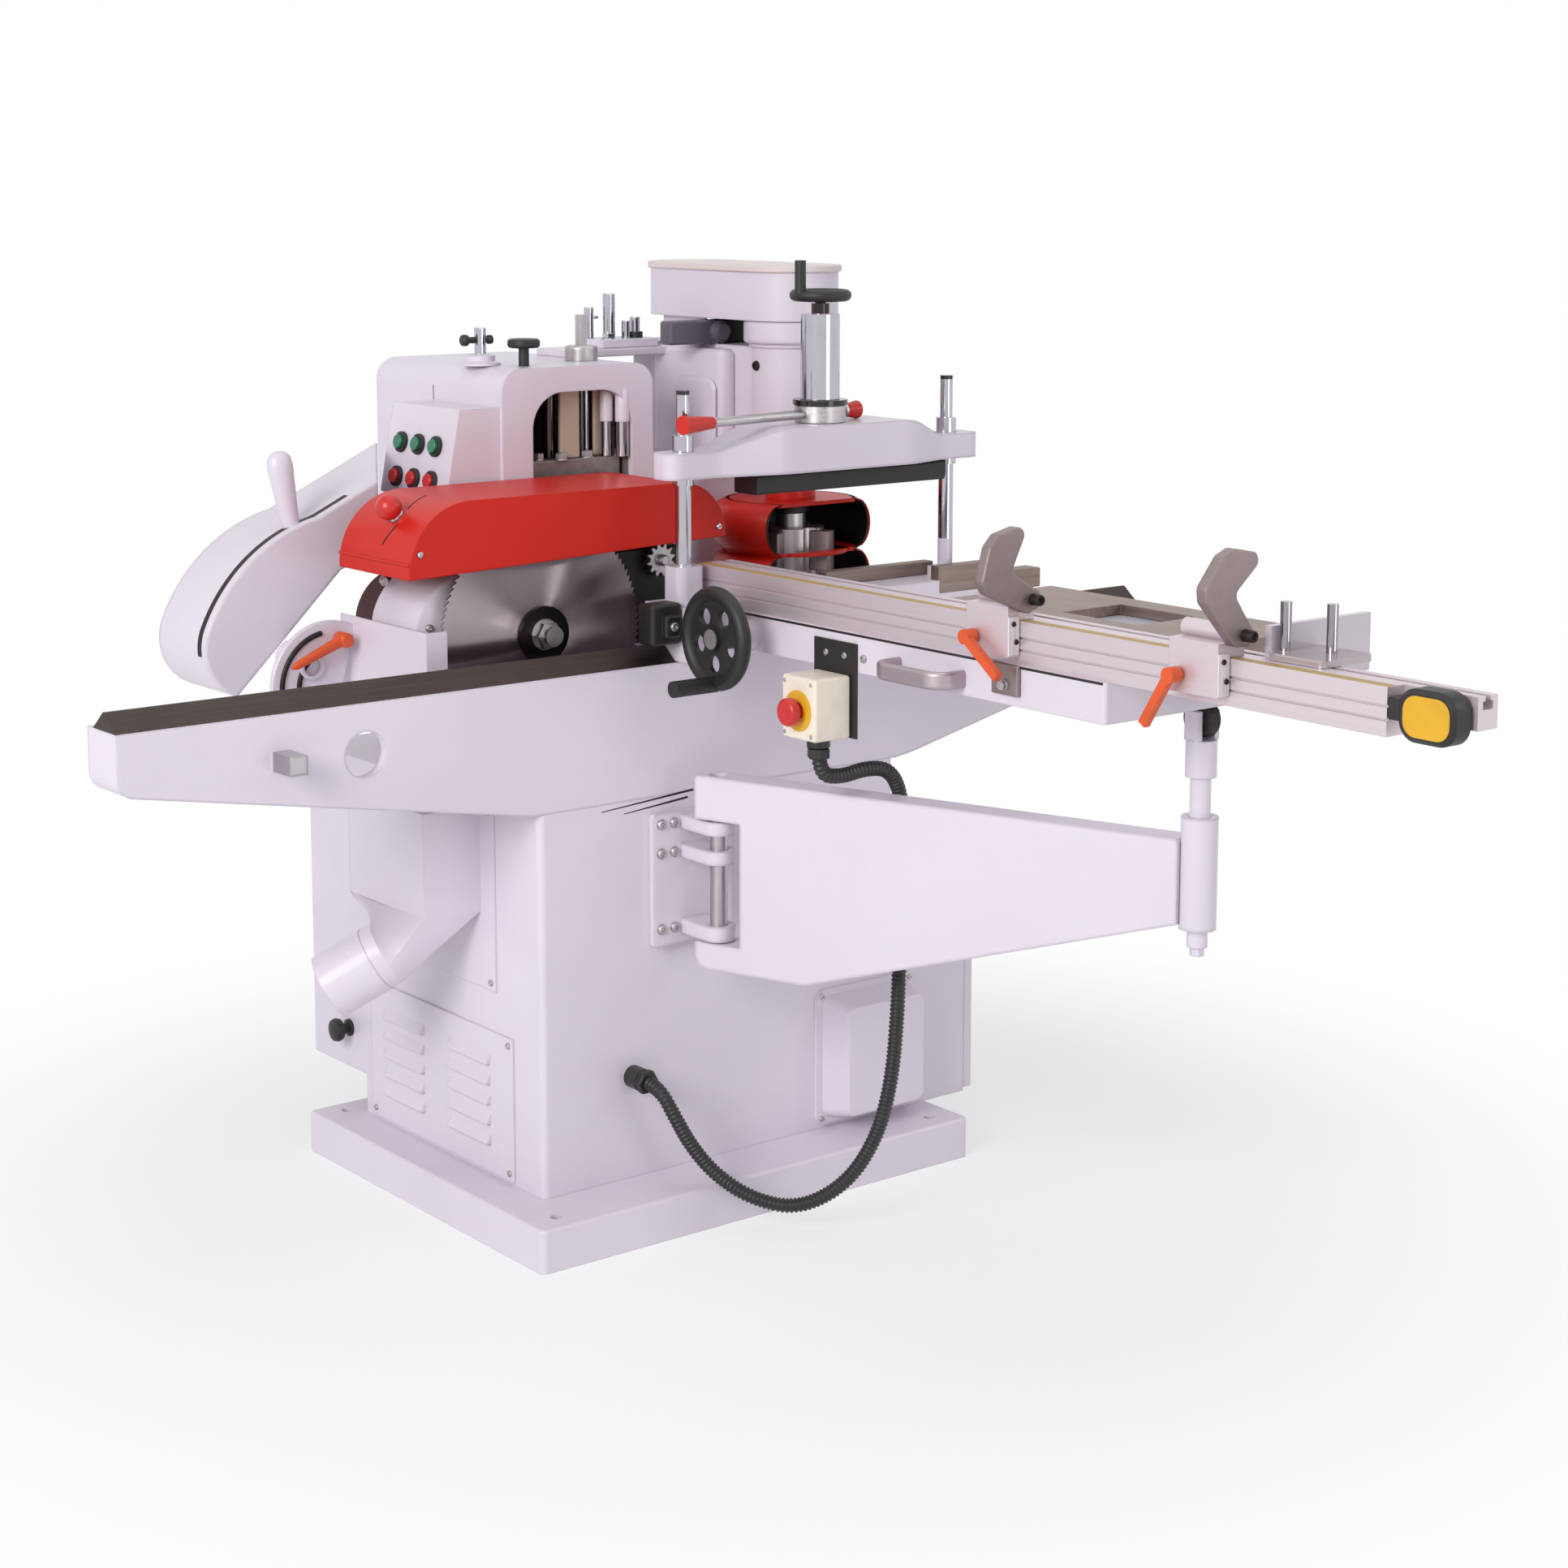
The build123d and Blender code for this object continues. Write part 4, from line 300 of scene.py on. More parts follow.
def rod_zones(finish):
    """The rods are dark brown above 0.7 m, where they stand in the window."""
    return [(above(finish.axes()[2], 0.7), tint(72, 64, 62), 1.0)]


def estop_zones(finish):
    """The bracket plate and the gland are black, the box is beige."""
    x, _, z = finish.axes()
    return [(above(x, -0.0394), BLACK, 0.0), (below(z, 0.7706), BLACK, 0.0)]


def lever_zones(finish):
    """Red grips on both ends of the clamp lever."""
    out = finish.axes()[0] - 0.195
    reach = finish.reach((0.195, -0.218, 0), 2)
    return [(above(reach, 0.238), RED, 0.0), (above(out, 0.058), RED, 0.0)]


def post_zones(finish):
    """Black caps on the post tips, painted cast blocks at their feet."""
    z = finish.axes()[2]
    return [(above(z, 1.230), BLACK, 0.0), (below(z, 0.9785), shade(GREY, 0.86), 0.0)]


def cylinder_zones(finish):
    """A black collar round the foot of the clamp cylinder, and a dark neck."""
    z = finish.axes()[2]
    return [(z.band(1.2026, 1.2114, SOFT), BLACK, 0.0), (above(z, 1.3404), DARK, 1.0)]


def arbor_zones(finish):
    """The clamping flange is blackened, the nut and shaft are bright."""
    reach = finish.reach((-0.245, 0, 0.880), 1)
    return [(reach.band(0.0235, 0.05, SOFT), tint(52, 48, 52), 1.0)]


def fence_zones(finish):
    """The fence plate and its foot are dull, the pins are bright."""
    _, y, z = finish.axes()
    return [(below(z, 0.9864), tint(190, 180, 184), 0.4), (above(y, -1.3026), tint(208, 200, 208), 0.2)]


def wheel_zones(finish):
    """A bright hub in the black handwheel."""
    return [(below(finish.reach((0, -0.345, 0.888), 0), 0.0145), STEEL, 1.0)]


grey_enamel = enamel("grey_enamel", GREY)
cast_enamel = enamel("cast_enamel", GREY, edge=0.009)
red_enamel = enamel("red_enamel", RED, 0.34, 0.00006, coat=0.04, shine=0.32)
cabinet_enamel = enamel("cabinet_enamel", GREY, zones=cabinet_zones)
bed_enamel = enamel("bed_enamel", GREY, edge=0.007, zones=bed_zones)
# the column's window recess carries painted shade
column_enamel = enamel("column_enamel", GREY, zones=column_window_shade_zones)
ivory_enamel = enamel("ivory_enamel", tint(206, 190, 168))
rail_steel = machined("rail_steel", tint(76, 68, 66), 0.36, (3, 300, 300))
table_iron = machined("table_iron", tint(152, 136, 130), 0.4, (240, 5, 240))
drawn_aluminium = machined(
    "drawn_aluminium", tint(216, 204, 210), 0.34, (420, 2, 420), 0.000008, metal=0.7, streak=0.12,
)
cast_aluminium = machined(
    "cast_aluminium", tint(150, 136, 135), 0.36, (60, 60, 60), 0.00003, 0.004, streak=0.3,
)
handle_aluminium = machined("handle_aluminium", tint(178, 166, 172), 0.3, (30, 30, 30), 0.00001, streak=0.2)
head_iron = machined("head_iron", tint(150, 140, 138), 0.42, (90, 90, 90), 0.00005, 0.004, metal=0.6)
plate_aluminium = machined("plate_aluminium", tint(228, 222, 226), 0.4, (300, 300, 20), metal=0.5)
slip_steel = machined("slip_steel", tint(186, 186, 198), 0.36, (160, 6, 160), metal=0.7)
fence_steel = machined("fence_steel", tint(140, 126, 118), 0.42, (6, 180, 180))
bright_steel = machined("bright_steel", tint(188, 184, 186), 0.26, (200, 200, 10))
lever_steel = machined("lever_steel", tint(188, 184, 186), 0.26, (10, 200, 200), zones=lever_zones)
dark_steel = machined("dark_steel", DARK, 0.4, (90, 30, 90))
arbor_steel = turned("arbor_steel", tint(190, 186, 190), (-0.245, 0, 0.880), 1, zones=arbor_zones)
blade_steel = turned("blade_steel", tint(150, 140, 146), (-0.245, 0, 0.880), 1, 0.14, 0.0012, 0.00012)
hard_chrome = chromed("hard_chrome")
fence_chrome = chromed("fence_chrome", tint(160, 156, 162), zones=fence_zones)
post_chrome = chromed("post_chrome", zones=post_zones)
cylinder_chrome = chromed("cylinder_chrome", zones=cylinder_zones)
black_plastic = moulded("black_plastic", BLACK)
wheel_plastic = moulded("wheel_plastic", BLACK, zones=wheel_zones)
estop_plastic = moulded("estop_plastic", BEIGE, 0.38, zones=estop_zones)
yellow_plastic = moulded("yellow_plastic", YELLOW, 0.36)
black_bar = enamel("black_bar", tint(28, 24, 24), 0.42, coat=0.08, shine=0.4)
slate_enamel = enamel("slate_enamel", tint(88, 82, 94), 0.34)
lid_enamel = enamel("lid_enamel", tint(228, 214, 212), 0.42)
rod_steel = chromed("rod_steel", zones=rod_zones)
drum_enamel = enamel("drum_enamel", tint(64, 26, 24), 0.5)
orange_plastic = moulded("orange_plastic", ORANGE)
green_plastic = moulded("green_plastic", tint(30, 116, 84), 0.25, 300, 0.00002)
red_plastic = moulded("red_plastic", tint(204, 40, 36), 0.25, 300, 0.00002)


# Shapes: each is a pair of an (n, 3) array of points in metres and a list of faces

def unit(vector):
    """A vector made one long."""
    vector = np.asarray(vector, float)
    return vector / np.linalg.norm(vector)


def basis(axis, hint=(0.31, 0.17, 0.93)):
    """Two directions square to an axis, and the axis, right-handed."""
    along = unit(axis)
    across = unit(np.cross(hint, along))
    return across, np.cross(along, across), along


def skin(rings, closed=False):
    """Quads between neighbouring rings of points; a closed skin joins last to first, others get flat ends."""
    rows, columns = rings.shape[:2]
    row, column = np.meshgrid(np.arange(rows if closed else rows - 1), np.arange(columns), indexing="ij")
    beside = (column + 1) % columns
    low, high = row * columns, (row + 1) % rows * columns
    quads = np.stack([low + column, low + beside, high + beside, high + column], -1).reshape(-1, 4)
    ends = [] if closed else [list(range(columns))[::-1], list(range((rows - 1) * columns, rows * columns))]
    return rings.reshape(-1, 3), quads.tolist() + ends


def lathe(profile, origin=(0, 0, 0), axis=(0, 0, 1), sides=40, closed=False):
    """Pairs of radius and height turned about an axis: radius times a circle, plus height along the axis."""
    profile = np.maximum(np.asarray(profile, float), [[1e-4, -1e9]]) * MM
    across, beside, along = basis(axis)
    turn = np.linspace(0, 2 * np.pi, sides, endpoint=False)[:, None]
    circle = np.cos(turn) * across + np.sin(turn) * beside
    rings = profile[:, 0, None, None] * circle + profile[:, 1, None, None] * along
    return skin(rings + np.asarray(origin, float) * MM, closed)


def collar(inner, outer, height, origin, axis, sides=32):
    """A ring with a bore and a rounded outer edge."""
    edge = min(0.25 * height, 0.3 * (outer - inner))
    profile = [
        (inner, 0), (outer, 0), (outer, height - edge), (outer - 0.3 * edge, height - 0.3 * edge),
        (outer - edge, height), (inner, height),
    ]
    return lathe(profile, origin, axis, sides, closed=True)


def post(radius, low, high, chamfer=1.5, sides=28):
    """An upright round bar from one point to a height, with its top edge taken off."""
    tall = high - low[2]
    return lathe([(radius, 0), (radius, tall - chamfer), (radius - chamfer, tall)], low, (0, 0, 1), sides)


def strip(path, outward, across, width, thick):
    """A thin band along a path: each section is a rectangle, width along across and thick along outward."""
    path, outward = np.asarray(path, float), np.asarray(outward, float)
    side = unit(across) * np.broadcast_to(width, len(path))[:, None] / 2
    lift = outward * thick / 2
    corners = np.stack([path + side + lift, path - side + lift, path - side - lift, path + side - lift], 1)
    travel = np.gradient(path, axis=0)
    if (np.cross(side, lift) * travel).sum() < 0:
        corners = corners[:, ::-1]
    return skin(corners * MM)


def arc_through(first, middle, last, count):
    """Points on the circle through three points of a plane, and its centre."""
    first, middle, last = (np.asarray(point, float) for point in (first, middle, last))
    sides = 2 * np.array([middle - first, last - first])
    centre = np.linalg.solve(sides, [middle @ middle - first @ first, last @ last - first @ first])
    angles = np.unwrap([math.atan2(*(point - centre)[::-1]) for point in (first, middle, last)])
    turn = np.linspace(angles[0], angles[2], count)[:, None]
    reach = np.linalg.norm(first - centre)
    return centre + reach * np.concatenate([np.cos(turn), np.sin(turn)], 1), centre


def tube(path, radius, sides=16, steady=(1, 1, 0)):
    """A circle carried along a path in metres: its first axis stays as near to steady as the path lets it."""
    path = np.asarray(path, float)
    along = np.gradient(path, axis=0)
    along /= np.linalg.norm(along, axis=1, keepdims=True)
    across = np.asarray(steady, float) - along * (along @ np.asarray(steady, float))[:, None]
    across /= np.linalg.norm(across, axis=1, keepdims=True)
    beside = np.cross(along, across)
    turn = np.linspace(0, 2 * np.pi, sides, endpoint=False)
    circle = np.cos(turn)[:, None] * across[:, None] + np.sin(turn)[:, None] * beside[:, None]
    return skin(path[:, None] + np.broadcast_to(radius, len(path))[:, None, None] * circle)


def drawn_in(outline, inset):
    """A closed outline moved inwards: each corner goes along the mean of its two edge normals."""
    edge = np.roll(outline, -1, 0) - outline
    edge = edge / np.linalg.norm(edge, axis=1, keepdims=True)
    normal = np.stack([-edge[:, 1], edge[:, 0]], 1)
    before = np.roll(normal, 1, 0)
    share = 1 + (normal * before).sum(1, keepdims=True)
    return outline + inset * (normal + before) / np.maximum(share, 0.35)


def slab(outline, origin, axis, across, thick, bevel=1.0):
    """A flat outline in millimetres carried along an axis by thick, drawn in by bevel at both faces."""
    outline = np.asarray(outline, float)
    along, across = unit(axis), unit(across)
    beside = np.cross(along, across)
    inner = drawn_in(outline, bevel)
    layers = ((inner, 0), (outline, bevel), (outline, thick - bevel), (inner, thick))
    rings = [flat[:, :1] * across + flat[:, 1:] * beside + height * along for flat, height in layers]
    return skin((np.array(rings) + np.asarray(origin, float)) * MM)


def rounded(width, height, radius, corner_points=5):
    """A rectangle about the origin with round corners: four quarter circles joined by straight runs."""
    quarter = np.linspace(0, np.pi / 2, corner_points)
    turn = np.concatenate([quarter + side * np.pi / 2 for side in range(4)])
    signs = np.repeat([[1, 1], [-1, 1], [-1, -1], [1, -1]], corner_points, 0)
    corner = signs * np.array([width / 2 - radius, height / 2 - radius])
    return corner + radius * np.stack([np.cos(turn), np.sin(turn)], 1)


def brick(low, high, bevel=1.0):
    """A box between two corners in millimetres with bevelled edges, upright along Z."""
    low, high = np.asarray(low, float), np.asarray(high, float)
    size, middle = high - low, (low + high) / 2
    outline = rounded(size[0], size[1], min(2 * bevel, min(size[:2]) / 2.2), 4)
    return slab(outline, (middle[0], middle[1], low[2]), (0, 0, 1), (1, 0, 0), size[2], bevel)


def hexagon(across_flats, turn=0.0):
    """The six corners of a nut."""
    corner = turn + np.arange(6) * np.pi / 3
    return across_flats / math.sqrt(3) * np.stack([np.cos(corner), np.sin(corner)], 1)


def hex_bolt(at, axis, across_flats=13, height=6):
    """A washer and a hexagon head standing on a surface."""
    across, beside, along = basis(axis)
    washer = across_flats * 0.62
    plate = lathe([(0, 0), (washer, 0), (washer, 1.2), (washer - 0.6, 1.8), (0, 1.8)], at, axis, 24)
    base = np.asarray(at, float) + along * 1.8
    return joined([plate, slab(hexagon(across_flats), base, axis, across, height, 0.8)])


def pan_screw(at, axis, radius=5.0):
    """A domed screw head with a round socket dished into it."""
    dome = [(1, 0), (1, 0.3), (0.85, 0.55), (0.5, 0.66)]
    dish = [(0.42, 0.64), (0.36, 0.3), (0, 0.28)]
    return lathe(radius * np.array([(0, 0)] + dome + dish), at, axis, 18)


def joined(shapes):
    """Several shapes as one."""
    points, faces, start = [], [], 0
    for shape_points, shape_faces in shapes:
        points.append(shape_points)
        faces += [[start + corner for corner in face] for face in shape_faces]
        start += len(shape_points)
    return np.concatenate(points), faces


def solid(name, shape, finish, sharp=32):
    """Put a shape into the scene with a finish and a material slot."""
    points, faces = shape
    mesh = bpy.data.meshes.new(name)
    mesh.from_pydata(points.tolist(), [], faces)
    mesh.polygons.foreach_set("use_smooth", np.ones(len(mesh.polygons), bool))
    mesh.set_sharp_from_angle(angle=math.radians(sharp))
    mesh.materials.append(finish.material)
    made = bpy.data.objects.new(name, mesh)
    bpy.context.scene.collection.objects.link(made)
    return made


def piece(name, shape, finish, body, sharp=32):
    """A shape in the scene that rides on a body."""
    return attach(solid(name, shape, finish, sharp), body)


def dress(finish, *names):
    """Give CAD nodes a finish."""
    for name in names:
        nodes[name].data.materials.clear()
        nodes[name].data.materials.append(finish.material)


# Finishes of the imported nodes

dress(
    grey_enamel, "plinth", "electrical_door", "louvre_panel", "dust_hood", "terminal_cover", "arm_post",
    "carriage_beam", "control_panel", "coping_belt_cover", "saw_side_guard", "saw_housing", "saw_motor",
)
dress(cast_enamel, "arm_hinge", "swing_arm", "carriage_saddle", "clamp_bridge", "belt_guard", "coping_column")
dress(cabinet_enamel, "cabinet")
dress(bed_enamel, "bed")
dress(column_enamel, "head_column")
dress(red_enamel, "saw_hood", "coping_guard")
dress(rail_steel, "guide_rail")
dress(table_iron, "table_plate")
dress(dark_steel, "arm_roller")
dress(head_iron, "tenon_head")
dress(drawn_aluminium, "table_profile", "stop_block_1", "stop_block_2")
dress(handle_aluminium, "pull_handle")
dress(fence_chrome, "mitre_fence")
dress(cast_aluminium, "stop_wing_1", "stop_wing_2")
dress(bright_steel, "hinge_pin", "head_crank", "tenon_cutter", "coping_spindle")
dress(lever_steel, "clamp_lever")
dress(arbor_steel, "saw_arbor")
dress(blade_steel, "saw_blade")
dress(rod_steel, "column_rods")
dress(post_chrome, "clamp_posts")
dress(cylinder_chrome, "clamp_cylinder")
dress(black_plastic, "clamp_wheel", "column_lock_knob")
dress(wheel_plastic, "handwheel")
dress(estop_plastic, "estop_box")
dress(black_bar, "clamp_bar")
dress(orange_plastic, "stop_lever_1", "stop_lever_2")
dress(green_plastic, "start_button_1", "start_button_2", "start_button_3")
dress(red_plastic, "stop_button_1", "stop_button_2", "stop_button_3", "estop_button", "hood_knob")


# Control hose: the route's points as the control points of one smooth line

HOSE_ROUTE = (
    (-72, -545, 758), (-72, -545, 718), (-31, -546, 710), (12, -547, 717), (54, -547, 711),
    (80, -543, 678), (87, -540, 630), (89, -538, 560), (88, -537, 455), (85, -536, 345),
    (79, -531, 240), (64, -516, 152), (34, -482, 78), (-14, -430, 36), (-62, -380, 48),
    (-104, -348, 84), (-136, -330, 130), (-160, -322, 178), (-174, -302, 222), (-174, -262, 222),
)
HOSE_R, HOSE_ROOT_R, HOSE_LONG, HOSE_RIBS = 11, 9.2, 1.226, 190
RINGS_A_RIB, HOSE_SIDES = 8, 20


def smooth_line(route):
    """Points of the NURBS line whose control points are the route, in metres."""
    curve = bpy.data.curves.new("route", "CURVE")
    curve.dimensions = "3D"
    curve.resolution_u = 24
    spline = curve.splines.new("NURBS")
    spline.points.add(len(route) - 1)
    for control, place in zip(spline.points, route):
        control.co = (*(coordinate * MM for coordinate in place), 1.0)
    spline.order_u = 3
    spline.use_endpoint_u = True
    holder = bpy.data.objects.new("route", curve)
    mesh = bpy.data.meshes.new_from_object(holder)
    line = np.empty(len(mesh.vertices) * 3)
    mesh.vertices.foreach_get("co", line)
    bpy.data.objects.remove(holder)
    bpy.data.curves.remove(curve)
    bpy.data.meshes.remove(mesh)
    return line.reshape(-1, 3)


def spaced(line, count):
    """A line's points put at equal distances along it."""
    walked = np.concatenate([[0], np.cumsum(np.linalg.norm(np.diff(line, axis=0), axis=1))])
    keep = np.concatenate([[True], np.diff(walked) > 1e-7])
    stations = np.linspace(0, walked[-1], count)
    return np.stack([np.interp(stations, walked[keep], line[keep, axis]) for axis in range(3)], 1)


hose_rubber = moulded("hose_rubber", tint(38, 36, 38), 0.34, 500, 0.00005)
hose_line = spaced(smooth_line(HOSE_ROUTE), HOSE_RIBS * RINGS_A_RIB + 1)
rib_phase = np.arange(len(hose_line)) / RINGS_A_RIB * 2 * np.pi
rib_swell = np.clip(0.5 - 0.85 * np.cos(rib_phase), 0, 1)
hose_radius = (HOSE_ROOT_R + (HOSE_R - HOSE_ROOT_R) * rib_swell) * MM
hose = solid("ribbed_hose", tube(hose_line, hose_radius, HOSE_SIDES), hose_rubber, 60)
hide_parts("control_hose")
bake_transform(hose)


# Fittings on the cabinet and bed

LEFT, FRONT, UP = (-1, 0, 0), (0, -1, 0), (0, 0, 1)
panel_corners = [(-337, y, z) for y in (-148, 240) for z in (82, 278)]
flange_corners = [(-337, y, z) for y in (-104, 164) for z in (364, 622)]
lid_corners = [(x, -240, z) for x in (184, 364) for z in (82, 280)]
hinge_bolts = [(x, -246, z) for x in (-128, -104) for z in (600, 556, 441)]
case_screws = [pan_screw(at, LEFT) for at in panel_corners + flange_corners]
case_screws += [pan_screw(at, FRONT, 4.5) for at in lid_corners]
case_screws += [pan_screw(at, FRONT, 8) for at in hinge_bolts]
piece("case_screws", joined(case_screws), bright_steel, "machine")

knob_profile = [(14, 0), (14, 4), (8, 7), (8, 14), (17, 18), (19, 24), (17, 30), (10, 33), (0, 34)]
piece("rear_knob", lathe(knob_profile, (-334, 325, 192), LEFT, 36), black_plastic, "machine")
seam_lines = (((-226, 630), (-60, 642)), ((-186, 622), (-70, 632)))
seams = [
    strip([(x, -234, z) for x, z in ends], [FRONT] * 2, (0, 0, 1), (1.2, 3.4), 0.5) for ends in seam_lines
]
piece("bed_seams", joined(seams), dark_steel, "machine")


# Fittings on the belt guard, panel and column

GUARD_RUN = ((-432, 1076.4), (-490, 1049))
GUARD_BENDS = (((-490, 1049), (-612, 985), (-672, 900)), ((-672, 900), (-668, 830), (-628, 796)))
GUARD_SLOT_Y, SLOT_WIDE, SLOT_LOW_END = 128, 12, 14


def guard_slot():
    """The handle's slot: a dark band just off the guard's rim, down its back and round to the heel."""
    run = np.linspace(*GUARD_RUN, 12)
    slope = unit(np.subtract(*GUARD_RUN))
    points, outward = [run[:-1]], [np.broadcast_to([-slope[1], slope[0]], (11, 2))]
    for bend, count in zip(GUARD_BENDS, (40, SLOT_LOW_END)):
        arc, centre = arc_through(*bend, 40)
        points.append(arc[1:count])
        outward.append((arc[1:count] - centre) / np.linalg.norm(arc[0] - centre))
    points, outward = np.concatenate(points), np.concatenate(outward)
    path = np.insert(points, 1, GUARD_SLOT_Y, 1)
    return strip(path, np.insert(outward, 1, 0, 1), (0, 1, 0), SLOT_WIDE, 0.6)


piece("guard_slot", guard_slot(), dark_steel, "machine")
PADDLE_AT, PADDLE_LEAN = (-523, 132, 1034), 0.17
PADDLE_SIZES = (
    (-4, 13, 12), (10, 14, 12.5), (60, 17.5, 14.5), (92, 20, 16), (106, 18, 15), (113, 12, 10), (116, 4, 3),
)


def paddle():
    """The guard's handle: ellipses that widen upwards along a leaning line and round over at the top."""
    turn = np.linspace(0, 2 * np.pi, 32, endpoint=False)
    height, wide, deep = np.array(PADDLE_SIZES).T[:, :, None]
    upward, across, beside = unit((-PADDLE_LEAN, 0, 1)), unit((1, 0, PADDLE_LEAN)), np.array([0.0, 1.0, 0.0])
    rings = height[..., None] * upward + (wide * np.cos(turn))[..., None] * across
    return skin((rings + (deep * np.sin(turn))[..., None] * beside + PADDLE_AT) * MM)


piece("guard_paddle", paddle(), grey_enamel, "machine", 60)

PANEL_FOOT, PANEL_RISE, PANEL_LEAN = (-302, 1062), 138, 26
BUTTON_COLUMNS, BUTTON_ROWS = (206, 156, 106), (1142, 1090)
panel_out = unit((-PANEL_RISE, 0, PANEL_LEAN))
bezels = [
    collar(11.5, 16, 6, (PANEL_FOOT[0] + (z - PANEL_FOOT[1]) / PANEL_RISE * PANEL_LEAN, y, z), panel_out)
    for z in BUTTON_ROWS for y in BUTTON_COLUMNS
]
piece("button_bezels", joined(bezels), black_plastic, "machine")

column_boss = lathe([(31, 0), (31, 4), (23, 7), (23, 15), (15, 18), (0, 18)], (-178, 152, 1258), UP)
bridge_plates = [
    brick((22, 196, 1258), (214, 300, 1270), 1.5), brick((92, 212, 1270), (204, 286, 1284), 1.5), column_boss,
]
piece("column_bosses", joined(bridge_plates), grey_enamel, "machine")
bridge_rods = ((100, 262, 8, 1335), (128, 245, 10, 1357), (152, 232, 7, 1313), (176, 240, 8.5, 1318))
tall_rods = [post(radius, (x, y, 1284), top) for x, y, radius, top in bridge_rods]
tall_rods += [post(9, (-178, 152, 1276), 1316)]
tall_rods += [lathe([(2.5, 0), (2.5, 34)], (83, 262, 1318), (1, 0, 0), 12)]
tall_rods += [hex_bolt((x, y, 1284), UP, 18, 8) for x, y in ((114, 228), (188, 262))]
piece("column_rods_top", joined(tall_rods), hard_chrome, "machine")
bar_profile = [(6, 0), (8.5, 2), (9, 6), (8.5, 10), (5, 13), (5, 46), (7, 48), (7, 54)]
rod_feet = [collar(8.8, 13, 10, (176, 240, 1284), UP), lathe(bar_profile, (-212, 152, 1297), (1, 0, 0), 24)]
piece("column_grips", joined(rod_feet), black_plastic, "machine")

column_seam = strip([(-205.1, 247, 1201), (-205.1, 247, 1224)], [LEFT] * 2, (0, 1, 0), 1.6, 0.5)
piece("column_seam", column_seam, dark_steel, "machine")
rod_places = ((-17.7, 100, 3.9), (7, 80, 9), (23, 60, 10))
window_rods = [post(radius, (x, y, 1113), 1219, 0.1) for x, y, radius in rod_places]
piece("window_rods", joined(window_rods), hard_chrome, "machine")
rod_sleeves = [collar(radius, radius + 1.4, 52, (x, y, 1167), UP) for x, y, radius in rod_places[1:]]
piece("rod_sleeves", joined(rod_sleeves), grey_enamel, "machine")
window_plates = [brick((-77, 84, 1113), (-41, 92, 1219), 0.8), brick((-6, 96, 1113), (9, 102, 1219), 0.8)]
piece("window_plates", joined(window_plates), ivory_enamel, "machine")
head_nuts = [hex_bolt((x, y, 1112), UP, 17, 9) for x, y in ((-114, 92), (-84, 73), (-28, 84), (27, 86))]
piece("head_nuts", joined(head_nuts), bright_steel, "tenon_head")


# Fittings round the saw

MOTOR_X, MOTOR_FRONT, MOTOR_Z = -352, -88, 885
EYE_WAY, EYE_TURN, EYE_REACH = (-0.72, 0, 0.69), 2.378, 107
motor_profile = [(84, 0), (92, 4), (95, 12), (95, 124), (90, 132), (80, 136)]
saw_body = [lathe(motor_profile, (MOTOR_X, MOTOR_FRONT, MOTOR_Z), (0, 1, 0), 72)]
saw_body += [lathe([(20, 0), (20, 9), (17, 12), (0, 12)], (MOTOR_X, 20, MOTOR_Z), EYE_WAY, 24)]
piece("saw_motor_case", joined(saw_body), grey_enamel, "machine")


def on_motor(reach, turn, y):
    """A point at a reach and an angle about the motor's axis."""
    return MOTOR_X + reach * math.cos(turn), y, MOTOR_Z + reach * math.sin(turn)


case_bolts = [hex_bolt(on_motor(EYE_REACH, EYE_TURN, 20), EYE_WAY, 14, 7)]
case_bolts += [pan_screw(on_motor(74, turn, MOTOR_FRONT), FRONT, 6) for turn in (1.9, 2.9)]
piece("saw_motor_bolts", joined(case_bolts), bright_steel, "machine")
saw_drum = lathe([(80, 0), (80, 60)], (MOTOR_X, 49, MOTOR_Z), (0, 1, 0), 60)
piece("saw_drum", saw_drum, drum_enamel, "machine")
dark_box = brick((-156, -62, 838), (46, 50, 984), 3)
piece("cutter_box", dark_box, black_bar, "machine")

QUADRANT_X, QUADRANT_Z, QUADRANT_R = -500, 806, 96


def quadrant_arc(reach, low, high, count=28):
    """Points on a circle about the quadrant's centre, between two angles in degrees."""
    turn = np.radians(np.linspace(low, high, count))
    return reach * np.stack([np.cos(turn), np.sin(turn)], 1)


quadrant_edge = np.concatenate([quadrant_arc(QUADRANT_R, 62, 196), quadrant_arc(22, 230, 330, 8)])
quadrant = [slab(quadrant_edge, (QUADRANT_X, 76, QUADRANT_Z), FRONT, (1, 0, 0), 10, 1.5)]
quadrant += [lathe([(26, 0), (26, 36)], (-540, 110, 846), FRONT, 32)]
quadrant += [collar(14, 20, 5, (-532, 64, 838), FRONT)]
piece("quadrant", joined(quadrant), grey_enamel, "machine")
slots = []
for reach, low, high in ((80, 100, 186), (52, 120, 190)):
    path = np.insert(quadrant_arc(reach, low, high), 1, 0, 1) + (QUADRANT_X, 66, QUADRANT_Z)
    slots.append(tube(path * MM, 4.2 * MM, 10, (0, 1, 0)))
piece("quadrant_slots", joined(slots), dark_steel, "machine")
lever_line = np.linspace((-478, 50, 878), (-574, 44, 842), 14) * MM
lever_girth = np.interp(np.arange(14), [0, 1, 5, 12, 13], [7, 9, 8, 6, 3]) * MM
lever_hub = lathe([(11, 0), (11, 22), (8, 25)], (-484, 64, 874), FRONT, 24)
quadrant_lever = joined([tube(lever_line, lever_girth, 16, (0, 1, 0)), lever_hub])
piece("quadrant_lever", quadrant_lever, orange_plastic, "machine")

HOOD_END, HOOD_END_R, KNOB_TURN = (-388, 987), 104, math.radians(132)


